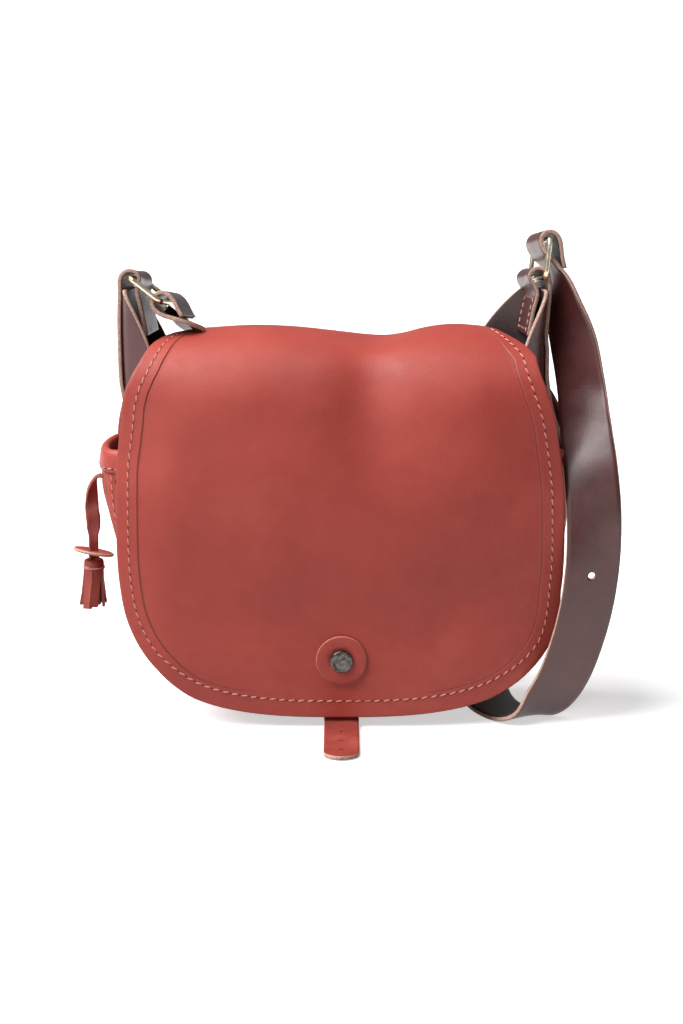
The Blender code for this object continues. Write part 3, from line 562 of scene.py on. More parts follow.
def claim(piece, slot, nodes):
    """Hide the solids that a seated piece stands for, and print its face count."""
    if nodes:
        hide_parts(*nodes)
    print(piece.name, "faces", len(piece.data.polygons))
    return piece


def carry(piece, body, slot, *nodes):
    """Seat a finished piece on its body."""
    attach(piece, body)
    return claim(piece, slot, nodes)


# %% [markdown]
# ## Stitches
# A saddle stitch is a short slanted bar of thread that sinks into an awl hole at each end. A row of them
# repeats along a seam, which is what Geometry Nodes are for: the seam's line is spaced by the pitch, and a
# rounded bar and a flat dark dot, painted shade for the awl hole, are set on each point, turned to the seam
# and to the leather's face.

# %% Stitch tree
ball_segments, ball_rings = 8, 6


def new_tree(name, sockets):
    """A Geometry Nodes tree and its input sockets, given as pairs of a name and a kind."""
    tree = bpy.data.node_groups.new(name, "GeometryNodeTree")
    for label, kind in [("Geometry", "Geometry"), *sockets]:
        tree.interface.new_socket(label, in_out="INPUT", socket_type="NodeSocket" + kind)
    tree.interface.new_socket("Geometry", in_out="OUTPUT", socket_type="NodeSocketGeometry")
    return tree, add(tree, "NodeGroupInput").outputs


def stitch_tree():
    """Nodes that lay stitches along a line whose points carry the leather's normal."""
    tree, given = new_tree("saddle_stitches", [("Pitch", "Float"), ("Bar length", "Float"),
                                               ("Thread radius", "Float"), ("Slant", "Float"),
                                               ("Thread", "Material"), ("Hole", "Material")])
    line = add(tree, "GeometryNodeMeshToCurve", {"Mesh": given["Geometry"]})
    spaced = add(tree, "GeometryNodeResampleCurve", {"Curve": line.outputs["Curve"],
                                                     "Length": given["Pitch"]}, mode="LENGTH")
    face = add(tree, "GeometryNodeInputNamedAttribute", {"Name": "face_normal"}, data_type="FLOAT_VECTOR")
    tangent = add(tree, "GeometryNodeInputTangent")
    points = add(tree, "GeometryNodeCurveToPoints", {"Curve": spaced.outputs["Curve"]}, mode="EVALUATED")
    kept = add(tree, "GeometryNodeCaptureAttribute", {"Geometry": spaced.outputs["Curve"]})
    kept.capture_items.new("VECTOR", "Along")
    tree.links.new(tangent.outputs["Tangent"], kept.inputs[1])
    tree.links.new(kept.outputs[0], points.inputs["Curve"])
    turned = add(tree, "FunctionNodeAxesToRotation", {"Primary Axis": face.outputs["Attribute"],
                                                      "Secondary Axis": kept.outputs[1]},
                 primary_axis="Z", secondary_axis="X")
    slant = add(tree, "ShaderNodeCombineXYZ", {"Z": given["Slant"]})
    slanted = add(tree, "FunctionNodeRotateRotation", {"Rotation": turned.outputs["Rotation"],
                                                       "Rotate By": slant.outputs["Vector"]},
                  rotation_space="LOCAL")
    ball = add(tree, "GeometryNodeMeshUVSphere", {"Segments": ball_segments, "Rings": ball_rings,
                                                  "Radius": 1.0})
    half = calc(tree, "MULTIPLY", given["Bar length"], 0.5)
    flat = calc(tree, "MULTIPLY", given["Thread radius"], 0.8)
    size = add(tree, "ShaderNodeCombineXYZ", {"X": half, "Y": given["Thread radius"], "Z": flat})
    bars = add(tree, "GeometryNodeInstanceOnPoints", {"Points": points.outputs["Points"],
                                                      "Instance": ball.outputs["Mesh"],
                                                      "Rotation": slanted.outputs["Rotation"],
                                                      "Scale": size.outputs["Vector"]})
    dyed = add(tree, "GeometryNodeSetMaterial", {"Geometry": bars.outputs["Instances"],
                                                 "Material": given["Thread"]})
    shift = calc(tree, "MULTIPLY", given["Pitch"], 0.5)
    offset = add(tree, "ShaderNodeVectorMath", {0: kept.outputs[1], "Scale": shift}, operation="SCALE")
    moved = add(tree, "GeometryNodeSetPosition", {"Geometry": points.outputs["Points"],
                                                  "Offset": offset.outputs["Vector"]})
    # painted shade: a flat dark dot at each hole stands for the shade inside the awl hole
    dot = calc(tree, "MULTIPLY", given["Thread radius"], 0.35)
    spot = add(tree, "ShaderNodeCombineXYZ", {"X": given["Thread radius"], "Y": given["Thread radius"],
                                              "Z": dot})
    holes = add(tree, "GeometryNodeInstanceOnPoints", {"Points": moved.outputs["Geometry"],
                                                       "Instance": ball.outputs["Mesh"],
                                                       "Rotation": turned.outputs["Rotation"],
                                                       "Scale": spot.outputs["Vector"]})
    dark = add(tree, "GeometryNodeSetMaterial", {"Geometry": holes.outputs["Instances"],
                                                 "Material": given["Hole"]})
    both = add(tree, "GeometryNodeJoinGeometry")
    tree.links.new(dyed.outputs["Geometry"], both.inputs["Geometry"])
    tree.links.new(dark.outputs["Geometry"], both.inputs["Geometry"])
    real = add(tree, "GeometryNodeRealizeInstances", {"Geometry": both.outputs["Geometry"]})
    smooth_shade = add(tree, "GeometryNodeSetShadeSmooth", {"Geometry": real.outputs["Geometry"]})
    add(tree, "NodeGroupOutput", {"Geometry": smooth_shade.outputs["Geometry"]})
    return tree


stitches = stitch_tree()


def grow(name, seed_mesh, tree, values):
    """Run a tree on a mesh with inputs given by name, and keep what it makes as a plain mesh."""
    seed = bpy.data.objects.new(name + "_seed", seed_mesh)
    scene.collection.objects.link(seed)
    modifier = seed.modifiers.new("Grow", "NODES")
    modifier.node_group = tree
    for item in tree.interface.items_tree:
        if item.in_out == "INPUT" and item.name in values:
            modifier[item.identifier] = values[item.name]
    bpy.context.view_layer.update()
    depsgraph = bpy.context.evaluated_depsgraph_get()
    mesh = bpy.data.meshes.new_from_object(seed.evaluated_get(depsgraph))
    bpy.data.objects.remove(seed, do_unlink=True)
    made = bpy.data.objects.new(name, mesh)
    scene.collection.objects.link(made)
    return made


def sew(name, seams, pitch=5.4 * mm, bar=4.0 * mm, radius=0.42 * mm, slant=14.0, yarn=None):
    """Rows of stitches: each seam is a list of (point, normal)."""
    points = []
    normals = []
    edges = []
    for seam in seams:
        start = len(points)
        points += [tuple(point) for point, _ in seam]
        normals += [tuple(normal) for _, normal in seam]
        edges += [(start + i, start + i + 1) for i in range(len(seam) - 1)]
    mesh = bpy.data.meshes.new(name)
    mesh.from_pydata(points, edges, [])
    layer = mesh.attributes.new("face_normal", "FLOAT_VECTOR", "POINT")
    layer.data.foreach_set("vector", np.array(normals, np.float32).ravel())
    made = grow(name, mesh, stitches, {"Pitch": pitch, "Bar length": bar, "Thread radius": radius,
                                       "Slant": math.radians(slant), "Thread": yarn or rose_thread,
                                       "Hole": hole_shade})
    print(name, "stitches", len(made.data.polygons) // (2 * ball_segments * ball_rings))
    return made


# %% [markdown]
# ## The drawstring's free end
# The thong is a flat strip of body leather about 8 mm wide. It comes out of a hole in the left gusset,
# turns down under its own weight and twists a quarter round on the way. A leather disc slides on it and
# holds the collar shut, and its end is held in a tassel. The strip is swept along a route, narrower where
# the disc's hole slides on it.

# %% Thong
thong_points = [(-137.4, -10, 141.2), (-140.2, -10, 141.4), (-142.9, -10, 139.2), (-144.3, -10.2, 133.5),
                (-144.6, -10.4, 125), (-144.0, -10.4, 115), (-144.2, -10.1, 105), (-144.4, -10, 97),
                (-144.4, -10, 92.0)]
thong_route = curve_through(np.array(thong_points) * mm, 0.7 * mm, soften=2)
thong_width = 8.0
thong_thickness = 1.7
# Shares of the length, with the strip's turn in degrees and then with its share of the full width.
thong_turns = [(0.0, 0), (0.12, 10), (0.24, 42), (0.36, 62), (0.46, 100), (0.58, 74), (0.72, 88), (0.85, 70),
               (1.0, 45)]
thong_widths = [(0.0, 0.62), (0.15, 0.8), (0.3, 0.9), (0.55, 1.0), (0.66, 0.92), (0.74, 0.68), (0.9, 0.66),
                (1.0, 0.8)]
steps_down = np.linspace(0, 1, len(thong_route))
angles = np.radians(np.interp(steps_down, *zip(*thong_turns)))
twist = [(-math.sin(angle), -math.cos(angle), 0) for angle in angles]
thong_shares = np.interp(steps_down, *zip(*thong_widths))
tail = sweep("drawstring_tail_strip", thong_route, twist,
             strap_outline(thong_width * mm, thong_thickness * mm, 6),
             [thong_leather, body_edge, body_flesh], thong_shares, cup=22.0)

# %% Sliding disc
disc_axis = (0.187, 0.124, 0.975)
disc_profile = [(3.5, 0.6), (3.7, 0.9), (11.2, 0.9), (11.8, 0.6), (12.0, 0.0), (11.8, -0.6),
                (11.2, -0.9), (3.7, -0.9), (3.5, -0.6), (3.5, 0.6)]
disc = lathe("slider_disc", disc_profile, (-0.1444, -0.010, 0.096), disc_axis, [body_leather, disc_edge],
             indices=[1, 0, 1, 1, 1, 1, 0, 1, 1])

# %% [markdown]
# The tassel is one piece of leather, cut into strips, rolled round the thong and tied. The strips repeat
# round a circle, so Geometry Nodes make them: a small bar is bent outward, set on each point of a circle,
# and turned and stretched a little at random with a fixed seed.

# %% Tassel tree


def fringe_tree():
    """Nodes that hang bent strips round a circle."""
    tree, given = new_tree("tassel_fringe", [("Strips", "Int"), ("Radius", "Float"), ("Length", "Float"),
                                             ("Width", "Float"), ("Thickness", "Float"),
                                             ("Flare", "Float"), ("Seed", "Int"), ("Leather", "Material")])
    size = add(tree, "ShaderNodeCombineXYZ", {"X": given["Thickness"], "Y": given["Width"],
                                              "Z": given["Length"]})
    bar = add(tree, "GeometryNodeMeshCube", {"Size": size.outputs["Vector"], "Vertices X": 2,
                                             "Vertices Y": 3, "Vertices Z": 9})
    place = add(tree, "ShaderNodeSeparateXYZ", {"Vector": add(tree, "GeometryNodeInputPosition").outputs[0]})
    down = calc(tree, "SUBTRACT", 0.5, calc(tree, "DIVIDE", place.outputs["Z"], given["Length"]))
    lean = calc(tree, "MULTIPLY", calc(tree, "POWER", down, 1.4), given["Flare"])
    drop = calc(tree, "MULTIPLY", given["Length"], -0.5)
    offset = add(tree, "ShaderNodeCombineXYZ", {"X": lean, "Z": drop})
    bent = add(tree, "GeometryNodeSetPosition", {"Geometry": bar.outputs["Mesh"],
                                                 "Offset": offset.outputs["Vector"]})
    circle = add(tree, "GeometryNodeMeshCircle", {"Vertices": given["Strips"], "Radius": given["Radius"]})
    spot = add(tree, "GeometryNodeInputPosition")
    faced = add(tree, "FunctionNodeAlignRotationToVector", {"Vector": spot.outputs[0]}, axis="X",
                pivot_axis="Z")
    wild = add(tree, "FunctionNodeRandomValue", {"Min": -0.16, "Max": 0.16, "Seed": given["Seed"]},
               data_type="FLOAT")
    turn = add(tree, "ShaderNodeCombineXYZ", {"X": wild.outputs[1], "Z": wild.outputs[1]})
    turned = add(tree, "FunctionNodeRotateRotation", {"Rotation": faced.outputs["Rotation"],
                                                      "Rotate By": turn.outputs["Vector"]},
                 rotation_space="LOCAL")
    long = add(tree, "FunctionNodeRandomValue", {"Min": 0.92, "Max": 1.0, "Seed": given["Seed"]},
               data_type="FLOAT")
    scale = add(tree, "ShaderNodeCombineXYZ", {"X": 1.0, "Y": 1.0, "Z": long.outputs[1]})
    strips = add(tree, "GeometryNodeInstanceOnPoints", {"Points": circle.outputs["Mesh"],
                                                        "Instance": bent.outputs["Geometry"],
                                                        "Rotation": turned.outputs["Rotation"],
                                                        "Scale": scale.outputs["Vector"]})
    real = add(tree, "GeometryNodeRealizeInstances", {"Geometry": strips.outputs["Instances"]})
    dyed = add(tree, "GeometryNodeSetMaterial", {"Geometry": real.outputs["Geometry"],
                                                 "Material": given["Leather"]})
    add(tree, "NodeGroupOutput", {"Geometry": dyed.outputs["Geometry"]})
    return tree


fringe = fringe_tree()
tassel_place = (-0.1444, -0.010, 0.0865)
tassel_lean = 0.07


def ring_of_strips(name, count, radius, length, flare, width, seed):
    """One layer of the tassel as a plain mesh under the tie."""
    made = grow(name, bpy.data.meshes.new(name), fringe,
                {"Strips": count, "Radius": radius, "Length": length, "Width": width,
                 "Thickness": 1.5 * mm, "Flare": flare, "Seed": seed, "Leather": thong_leather})
    lean = Matrix.Identity(4)
    lean[0][2] = tassel_lean
    made.data.transform(Matrix.Translation(tassel_place) @ lean)
    return made


outer_strips = ring_of_strips("tassel_strips", 6, 4.7 * mm, 23.8 * mm, 1.9 * mm, 5.4 * mm, 4)
inner_strips = ring_of_strips("tassel_core_strips", 4, 2.6 * mm, 22.8 * mm, 1.6 * mm, 4.4 * mm, 9)
knot_profile = [(0, 5.2), (4.4, 5.2), (5.4, 4.7), (5.8, 3.4), (5.9, 1.0), (5.8, -0.6), (5.6, -1.6),
                (5.6, -2.6), (5.7, -3.6), (5.6, -4.4), (0, -4.4)]
knot = lathe("tassel_knot", knot_profile, tassel_place, (0, 0, 1), [thong_leather])
tie_radius = 5.95
tie_rise = 0.45
tie_turns = 1.7
tie_line = [(-144.4 + tie_radius * math.cos(a), -10 + tie_radius * math.sin(a), 86.2 + tie_rise * a / math.pi)
            for a in np.linspace(0, 2 * tie_turns * math.pi, 70)]
tie = sweep("tassel_tie", np.array(tie_line) * mm, (0, 0, 1), round_outline(0.4 * mm, 8), [rose_thread])

# %% Hang the thong's end
carry(tail, "thong_end", "body_leather", "drawstring_tail")
carry(disc, "cord_slider", "body_leather", "cord_slider")
carry(knot, "thong_end", "body_leather", "tassel")
for piece in (outer_strips, inner_strips, tie):
    carry(piece, "thong_end", "body_leather")
[list(point) for point in thong_route]

# %% [markdown]
# ## The pouch's outline
# The solids set the pouch's outline, and these functions repeat it, so that each fine surface lies in its
# solid's place. A superellipse gives the rounded shape seen from the front, and a fullness gives the
# panels' belly. The waist under the collar and the side that the shoulder strap presses in are the
# photograph's own. The top of the bag leans a little to the left, also as it does there.

# %% Outline functions
lean_top = 2.4
waist = 3.4
base_lift = 3.4
collar_bulge = 5
strap_press = 7.0


def smooth(value):
    """Ease from 0 to 1."""
    value = np.clip(value, 0.0, 1.0)
    return value * value * (3 - 2 * value)


def superellipse(level, half, middle, reach, roundness):
    """Half width at one level."""
    share = np.minimum(np.abs(level - middle) / reach, 1.0)
    return half * (1 - share ** roundness) ** (1 / roundness)


def pouch_width(level):
    """Half width of the pouch, in mm, a little waisted under the collar."""
    return superellipse(level, 134, 150, 156, 2.5) - waist * np.exp(-((level - 97) / 20) ** 2)


def base_rise(y, level):
    """How far the soft front of the base lifts off the floor, in mm."""
    return base_lift * smooth((-6 - y) / 14) * np.maximum(1 - level / 30, 0)


def back_width(level):
    """Half width of the back panel, in mm, which narrows above the neck."""
    return np.where(level <= 140, pouch_width(level), superellipse(level, 133.94, 140, 80, 3.0))


def belly(share, level):
    """Fullness of a panel: 0 at its seam and base, 1 in the middle."""
    return (1 - np.minimum(np.abs(share), 1.0) ** 3) ** 0.6 * smooth(level / 80)


def gusset_out(y, level):
    """Outer X of the gusset, in mm, bowed below the collar."""
    across = 1 - ((y - 3) / 27) ** 2
    return pouch_width(level) + collar_bulge * across * np.exp(-((level - 140) / 28) ** 2)


def push_in(y, level):
    """How far the shoulder strap presses the right side in, in mm."""
    return strap_press * np.exp(-((level - 146) / 32) ** 2) * smooth((27 - y) / 30)


def flap_width(level):
    """Half width of the flap's front, in mm."""
    low = superellipse(level, 126, 120, 113, 3.0)
    return np.where(level < 120, low, superellipse(level, 126, 120, 125, 3.4))


# %% [markdown]
# ## Back and flap in one hide
# The back panel runs up, over the top of the pouch and down the front as the flap, all one piece. Its
# middle line is a profile in the YZ plane, given here as points from the flap's lower edge over the crest
# to the base. Along that line each row has its own width. The crest is not level: the hide sags between
# two soft humps, and a shallow valley runs down from that sag, which is what shapes the light on the flap.

# %% Profile of the hide
front_profile = [(7.1, -45.0), (14, -45.5), (22, -46.2), (40, -47.9), (62, -49.6), (90, -52.0),
                 (120, -53.0), (150, -51.2), (170, -48.6), (184, -45.6), (195, -42.0)]
crest_profile = [(204, -37.6), (212, -31.5), (218.5, -23.5), (222.8, -13.5), (225.2, -2.5), (225.6, 8.5),
                 (224.0, 19.0), (220.3, 28.5), (214.0, 35.5), (206.0, 39.2), (197.0, 40.2)]
back_profile = [(level, 30 + 10 * float(smooth(level / 80))) for level in range(180, -1, -12)]
hide_line = np.array([(y, z) for z, y in front_profile + crest_profile + back_profile]) * mm
hide_line = curve_through(np.c_[hide_line[:, 0], hide_line[:, 1], np.zeros(len(hide_line))], 1.0 * mm, 6)
hide_run = run_along(hide_line)
crest_place = int(np.argmax(hide_line[:, 1]))
hide_levels = hide_line[:, 1] / mm
on_front = np.arange(len(hide_line)) <= crest_place
# Distance from the crest along the profile, with the half width there.
top_widths = [(-60, 118.0), (-45, 110.5), (-33, 106.0), (-20, 101.5), (-8, 95.5), (3, 90.5), (14, 87.5),
              (25, 85.0), (34, 84.5)]
from_crest = (hide_run - hide_run[crest_place]) / mm
crest_widths = np.interp(from_crest, [a for a, _ in top_widths], [w for _, w in top_widths])
front_widths = flap_width(np.minimum(hide_levels, 218))
front_share = smooth((202 - hide_levels) / 14)
hide_widths = np.where(on_front, front_share * front_widths + (1 - front_share) * crest_widths, 0)
back_share = smooth((213 - hide_levels) / 12)
behind = (1 - back_share) * np.minimum(crest_widths, 84.5) + back_share * back_width(hide_levels)
hide_widths = np.where(on_front, hide_widths, behind) * mm
hide_widths[hide_run < 0.6 * mm] = 35 * mm
# The crest's level from left to right.
crest_shape = [(-110, 219.5), (-100, 221.6), (-92.6, 222.8), (-81, 225.0), (-62, 226.2), (-44, 226.4),
               (-22, 225.2), (0, 222.6), (16, 220.3), (28, 219.4), (38, 221.2), (50, 224.8), (65, 226.9),
               (80, 226.2), (90, 224.6), (98, 222.0), (110, 219.0)]
crest_curve = curve_through(np.array([(x, z, 0) for x, z in crest_shape]) * mm, 1 * mm, 10)
crest_height = 0.2256
side_curl = 11 * mm
back_fullness = 10 * mm
strap_dent = 3.5 * mm
# Soft bumps and hollows of the flap's front: x, level, width, height and rise.
bumps = [(16, 199, 17, 30, -4.2), (-62, 196, 34, 22, 2.0), (72, 192, 28, 24, 2.6), (18, 160, 20, 26, -1.6),
         (64, 74, 20, 22, -1.8), (-46, 70, 26, 20, -0.7), (20, 92, 30, 24, 0.9), (-66, 150, 56, 24, 2.6),
         (74, 152, 36, 24, 2.2), (-100, 110, 16, 60, 0.9), (104, 130, 14, 44, 0.8), (-20, 40, 60, 12, 0.5)]
print("hide", round(hide_run[-1], 3), "m long, crest at", round(hide_run[crest_place], 3))

# %% Surface of the hide


def hide_point(x, run):
    """A point of the hide's middle: x and the distance along its profile are arrays, in metres."""
    y = np.interp(run, hide_run, hide_line[:, 0])
    z = np.interp(run, hide_run, hide_line[:, 1])
    half = np.interp(run, hide_run, hide_widths)
    level = z / mm
    front = run < hide_run[crest_place]
    side = np.minimum(np.abs(x) / (126 * mm), 1.05)
    curl = side_curl * side ** 3 * smooth((213 - level) / 63)
    share = np.minimum(np.abs(x) / np.maximum(half, 1e-6), 1.0)
    hollow = back_fullness * (belly(share, level) - smooth(level / 80))
    rear = smooth((run - hide_run[crest_place]) / (30 * mm))
    y = y + np.where(front, curl, 0) + rear * hollow
    crest = np.interp(x, crest_curve[:, 0], crest_curve[:, 1]) - crest_height
    z = z + crest * np.exp(-((run - hide_run[crest_place]) / (26 * mm)) ** 2)
    z = z - strap_dent * np.exp(-((x / mm + 80) / 20) ** 2 - ((y / mm - 20) / 11) ** 2) * (z > 0.2)
    lean = -lean_top * mm * smooth((level - 150) / 63)
    push = np.zeros_like(x)
    for px, pz, wide, high, amount in bumps:
        push += amount * mm * np.exp(-((x / mm - px) / wide) ** 2 - ((level - pz) / high) ** 2)
    steep = smooth((level - 195) / 30)
    away = np.where(front, 1.0, 0.0) * (1 - smooth((run - hide_run[crest_place] + 0.012) / 0.012))
    y = y - push * away * (1 - 0.55 * steep)
    z = z + push * away * steep * 0.8
    return np.stack([x + lean, y, z], axis=-1)


def hide_frame(x, run):
    """Point and outward normal of the hide."""
    step = 0.5 * mm
    here = hide_point(x, run)
    across = hide_point(x + step, run) - here
    along = hide_point(x, run + step) - here
    return here, unit(np.cross(across, along))


flap_leather_thickness = 2.4 * mm
flap_tip = 7.05
tip_rows = np.array([0, 0.25, 0.7, 1.2, 1.8, 2.5, 3.3, 4.2, 5.2, 6.4]) * mm
row_places = np.concatenate([tip_rows, np.arange(8.0 * mm, hide_run[-1] - 1 * mm, 2.0 * mm), [hide_run[-1]]])
across_shares = crowded(-1, 1, 129) * 0.35 + np.linspace(-1, 1, 129) * 0.65
hide_half = np.interp(row_places, hide_run, hide_widths)
hide_half[:len(tip_rows)] = flap_width(flap_tip + tip_rows / mm * 0.999) * mm
hide_half[0] = 15 * mm
front_rows = row_places < hide_run[crest_place]
row_levels = np.interp(row_places, hide_run, hide_levels)
# Levels, with how much wider the flap is there on the left and on the right.
uneven = np.array([(7, 0, 0), (12, 4, 4), (17, 5, 5.6), (24, 3, 5), (33, 1.5, 4.6), (50, 1.5, 4.4),
                   (65, 1.5, 2.2), (80, 0.8, 0), (140, 0, -1.5), (152, 0, -2.8), (165, -1.4, -3.7),
                   (178, -2.2, -3.6), (194, -1.2, -3.6), (204, 0, -1), (214, 0, 2.5), (222, 0, 0)])
hide_left, hide_right = (
    hide_half + np.where(front_rows, np.interp(row_levels, uneven[:, 0], uneven[:, column]), 0) * mm
    for column in (1, 2))
hide_x = np.where(across_shares < 0, hide_left[:, None], hide_right[:, None]) * across_shares[None, :]
hide_runs = np.repeat(row_places[:, None], len(across_shares), axis=1)
hide_grid, hide_normals = hide_frame(hide_x, hide_runs)
hide_grid = hide_grid - hide_normals * flap_leather_thickness / 2
print("hide grid", hide_grid.shape)

# %% [markdown]
# A band of leather is sewn behind the flap's edge. From outside it shows as a fine pressed line about
# 12 mm in from the edge, and the border outside the line stands a trace higher. Each point of the hide
# therefore stores its distance from the edge. The material draws the line from that in bump, and darkens
# it in colour as painted shade in the groove.

# %% Distance from the edge
line_inset = 12.2
flap_end = hide_run[crest_place] - 4 * mm
border_points = []
fine_run = np.arange(0, flap_end + 30 * mm, 0.5 * mm)
for side, halves in ((-1, hide_left), (1, hide_right)):
    border_points += [(side * w, r, 0) for w, r in zip(np.interp(fine_run, row_places, halves), fine_run)]
border_points += [(x, 0, 0) for x in np.arange(-15 * mm, 15 * mm, 0.5 * mm)]
border = KDTree(len(border_points))
for index, point in enumerate(border_points):
    border.insert(point, index)
border.balance()
edge_distance = np.array([[border.find((x, r, 0))[2] for x, r in zip(xs, rs)]
                          for xs, rs in zip(hide_x, hide_runs)])
middle_fade = smooth((np.abs(hide_x) - 44 * mm) / (16 * mm))
low_fade = smooth((hide_runs - 26 * mm) / (10 * mm))
top_fade = 1 - smooth((hide_runs - flap_end + 8 * mm) / (12 * mm))
line_weight = np.maximum(middle_fade, low_fade) * top_fade


def flap_face(base):
    """The body leather with the band's pressed line, read from the hide's stored edge distance: a bump, and
    painted shade along the groove.
    """
    material = base.copy()
    material.name = "dyed_cowhide_flap"
    tree = material.node_tree
    shader = tree.nodes["Principled BSDF"]
    distance = add(tree, "ShaderNodeAttribute", attribute_name="edge_mm").outputs["Fac"]
    weight = add(tree, "ShaderNodeAttribute", attribute_name="line_weight").outputs["Fac"]
    away = calc(tree, "SUBTRACT", distance, line_inset)
    groove = add(tree, "ShaderNodeMapRange", {"Value": calc(tree, "ABSOLUTE", away), "From Min": 0.15,
                                              "From Max": 0.9, "To Min": 1.0, "To Max": 0.0},
                 interpolation_type="SMOOTHSTEP")
    cut = calc(tree, "MULTIPLY", groove.outputs["Result"], weight)
    border = add(tree, "ShaderNodeMapRange", {"Value": away, "From Min": -1.0, "From Max": 1.4,
                                              "To Min": 1.0, "To Max": 0.0}, interpolation_type="SMOOTHSTEP")
    raised = calc(tree, "MULTIPLY", border.outputs["Result"], weight)
    colour = shader.inputs["Base Color"].links[0].from_socket
    # painted shade: the groove is darkened towards 6d2c27 in the base colour
    shaded = add(tree, "ShaderNodeMix", {"Factor": calc(tree, "MULTIPLY", cut, 0.55), 6: colour,
                                         7: linear("6d2c27")}, data_type="RGBA")
    tree.links.new(shaded.outputs[2], shader.inputs["Base Color"])
    depth = calc(tree, "MULTIPLY_ADD", cut, -0.5, raised)
    bump = add(tree, "ShaderNodeBump", {"Height": depth, "Strength": 0.8, "Distance": 0.7 * mm})
    fine = shader.inputs["Normal"].links[0].from_node
    low = fine.inputs["Normal"].links[0].from_node
    tree.links.new(bump.outputs["Normal"], low.inputs["Normal"])
    return material


flap_material = flap_face(body_leather)
hide = leather_sheet("back_and_flap_hide", hide_grid, flap_leather_thickness,
                     [flap_material, dyed_edge, body_flesh])
grid_count = edge_distance.size
for name, values in (("edge_mm", edge_distance / mm), ("line_weight", line_weight)):
    layer = hide.data.attributes.new(name, "FLOAT", "POINT")
    full = np.zeros(len(hide.data.vertices), np.float32)
    full[:grid_count] = values.ravel()
    full[grid_count:2 * grid_count] = values.ravel()
    layer.data.foreach_set("value", full)

# %% [markdown]
# The hide crosses the flap's hinge. It stays one piece, fixed in its place, and is not split at the crest.

# %% Fix the hide in place


def bend(piece, slot, *nodes):
    """Bake a piece's place into its mesh and hide the solids it stands for."""
    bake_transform(piece)
    return claim(piece, slot, nodes)


bend(hide, "body_leather", "back_panel", "flap_top", "flap")

# %% [markdown]
# ## Edge band and flap stitches
# A strip 12 mm wide lines the flap's edge from behind, and one row of stitches holds it. The edge is a line
# in the plane of x and distance along the profile, so it can be moved inward there and then laid on the
# hide. The row runs 6.5 mm inside the edge at the sides and 9.5 mm inside it along the bottom.

# %% Band


def inset_line(line, inset, step=1.0 * mm, soften=10):
    """Move a flat line to its left: rows of (x, run), evenly spaced. inset is a number or a function."""
    run = run_along(line)
    spots = np.linspace(0, run[-1], int(run[-1] / step) + 1)
    even = softened(np.stack([np.interp(spots, run, line[:, k]) for k in (0, 1)], axis=1), soften)
    along = unit(np.gradient(even, axis=0))
    left = np.stack([-along[:, 1], along[:, 0]], axis=1)
    amount = inset(even) if callable(inset) else np.full(len(even), inset)
    return even + left * amount[:, None]


kept = row_places <= flap_end
edge_left = np.stack([-hide_left[kept], row_places[kept]], axis=1)[::-1]
edge_right = np.stack([hide_right[kept], row_places[kept]], axis=1)
flap_edge = np.concatenate([edge_left, edge_right])
band_thickness = 1.4 * mm
band_depth = flap_leather_thickness + 0.3 * mm + band_thickness / 2
band_rows = []
for inset in np.linspace(0.5, 12.0, 9) * mm:
    line = inset_line(flap_edge, inset, 2.0 * mm, 4)
    place, normal = hide_frame(line[:, 0], line[:, 1])
    band_rows.append(place - normal * band_depth)
band = leather_sheet("flap_edge_band_strip", np.array(band_rows), band_thickness,
                     body_hide, towards=(0, 1, 0))
bend(band, "body_leather", "flap_edge_band")

# %% Flap stitches
side_inset = 6.5
bottom_extra = 3.0


def stitch_inset(line):
    """Distance of the flap's stitches from its edge."""
    low = smooth((40 * mm - line[:, 1]) / (34 * mm))
    return (side_inset + bottom_extra * low) * mm


def on_hide(line, lift):
    """Points and normals on the hide's outer face along a flat line."""
    place, normal = hide_frame(line[:, 0], line[:, 1])
    return list(zip(place + normal * lift, normal))


flap_stitches = sew("flap_stitches", [on_hide(inset_line(flap_edge, stitch_inset), 0.15 * mm)])
bend(flap_stitches, "body_leather")

# %% [markdown]
# ## Pouch
# Two panels and a gusset make the pouch. The front panel has a full belly, the gusset is one strip that
# runs down a side, under the base and up the other side, and it bulges a little under the collar, where the
# drawstring gathers it. The shoulder strap presses the right side in. The collar is a strip folded over the
# rim and sewn through.

# %% Front panel
panel_thickness = 2.0 * mm
rim_level = 157
front_edge = -22


def thick_inside(grid, thickness, towards):
    """Move a grid of outer-face points to the sheet's middle; towards is the way the face looks."""
    normals = grid_normals(grid)
    if np.sum(normals.mean(axis=(0, 1)) * np.array(towards)) < 0:
        normals = -normals
    return grid - normals * thickness / 2


def front_depth(x, level):
    """Y of the front panel's outer face, in mm."""
    return -(24 + 18 * belly(x / np.maximum(pouch_width(level), 1), level))


panel_levels = np.concatenate([np.linspace(0, 12, 9)[:-1], np.linspace(12, rim_level, 59)])
panel_shares = crowded(-1, 1, 81)
panel_half = pouch_width(panel_levels)[:, None]
panel_x = panel_half * panel_shares[None, :]
panel_z = np.repeat(panel_levels[:, None], len(panel_shares), axis=1)
panel_y = front_depth(panel_x, panel_z)
pressed = panel_x - push_in(front_edge, panel_z) * np.maximum(panel_x / panel_half, 0) ** 2
front_face = np.stack([pressed, panel_y, panel_z + base_rise(panel_y, panel_z)], axis=-1) * mm
front = leather_sheet("front_panel_hide", thick_inside(front_face, panel_thickness, (0, -1, 0)),
                      panel_thickness, body_hide, towards=(0, -1, 0))
carry(front, "root", "body_leather", "front_panel")

# %% Gusset
gusset_y = np.linspace(-21.7, 27.7, 25)
side_levels = np.concatenate([np.linspace(rim_level, 12, 59), np.linspace(12, 0, 9)[1:]])
base_half = float(pouch_width(0.0))


def side_rows(sign):
    """Outer face of one side, from the rim down."""
    y, level = np.meshgrid(gusset_y, side_levels)
    pucker = 0.7 * np.sin(y * 0.55 + 1.3) * np.exp(-((level - 138) / 14) ** 2)
    out = gusset_out(y, level) + pucker - (push_in(y, level) if sign > 0 else 0)
    return np.stack([sign * out, y, level + base_rise(y, level)], axis=-1)


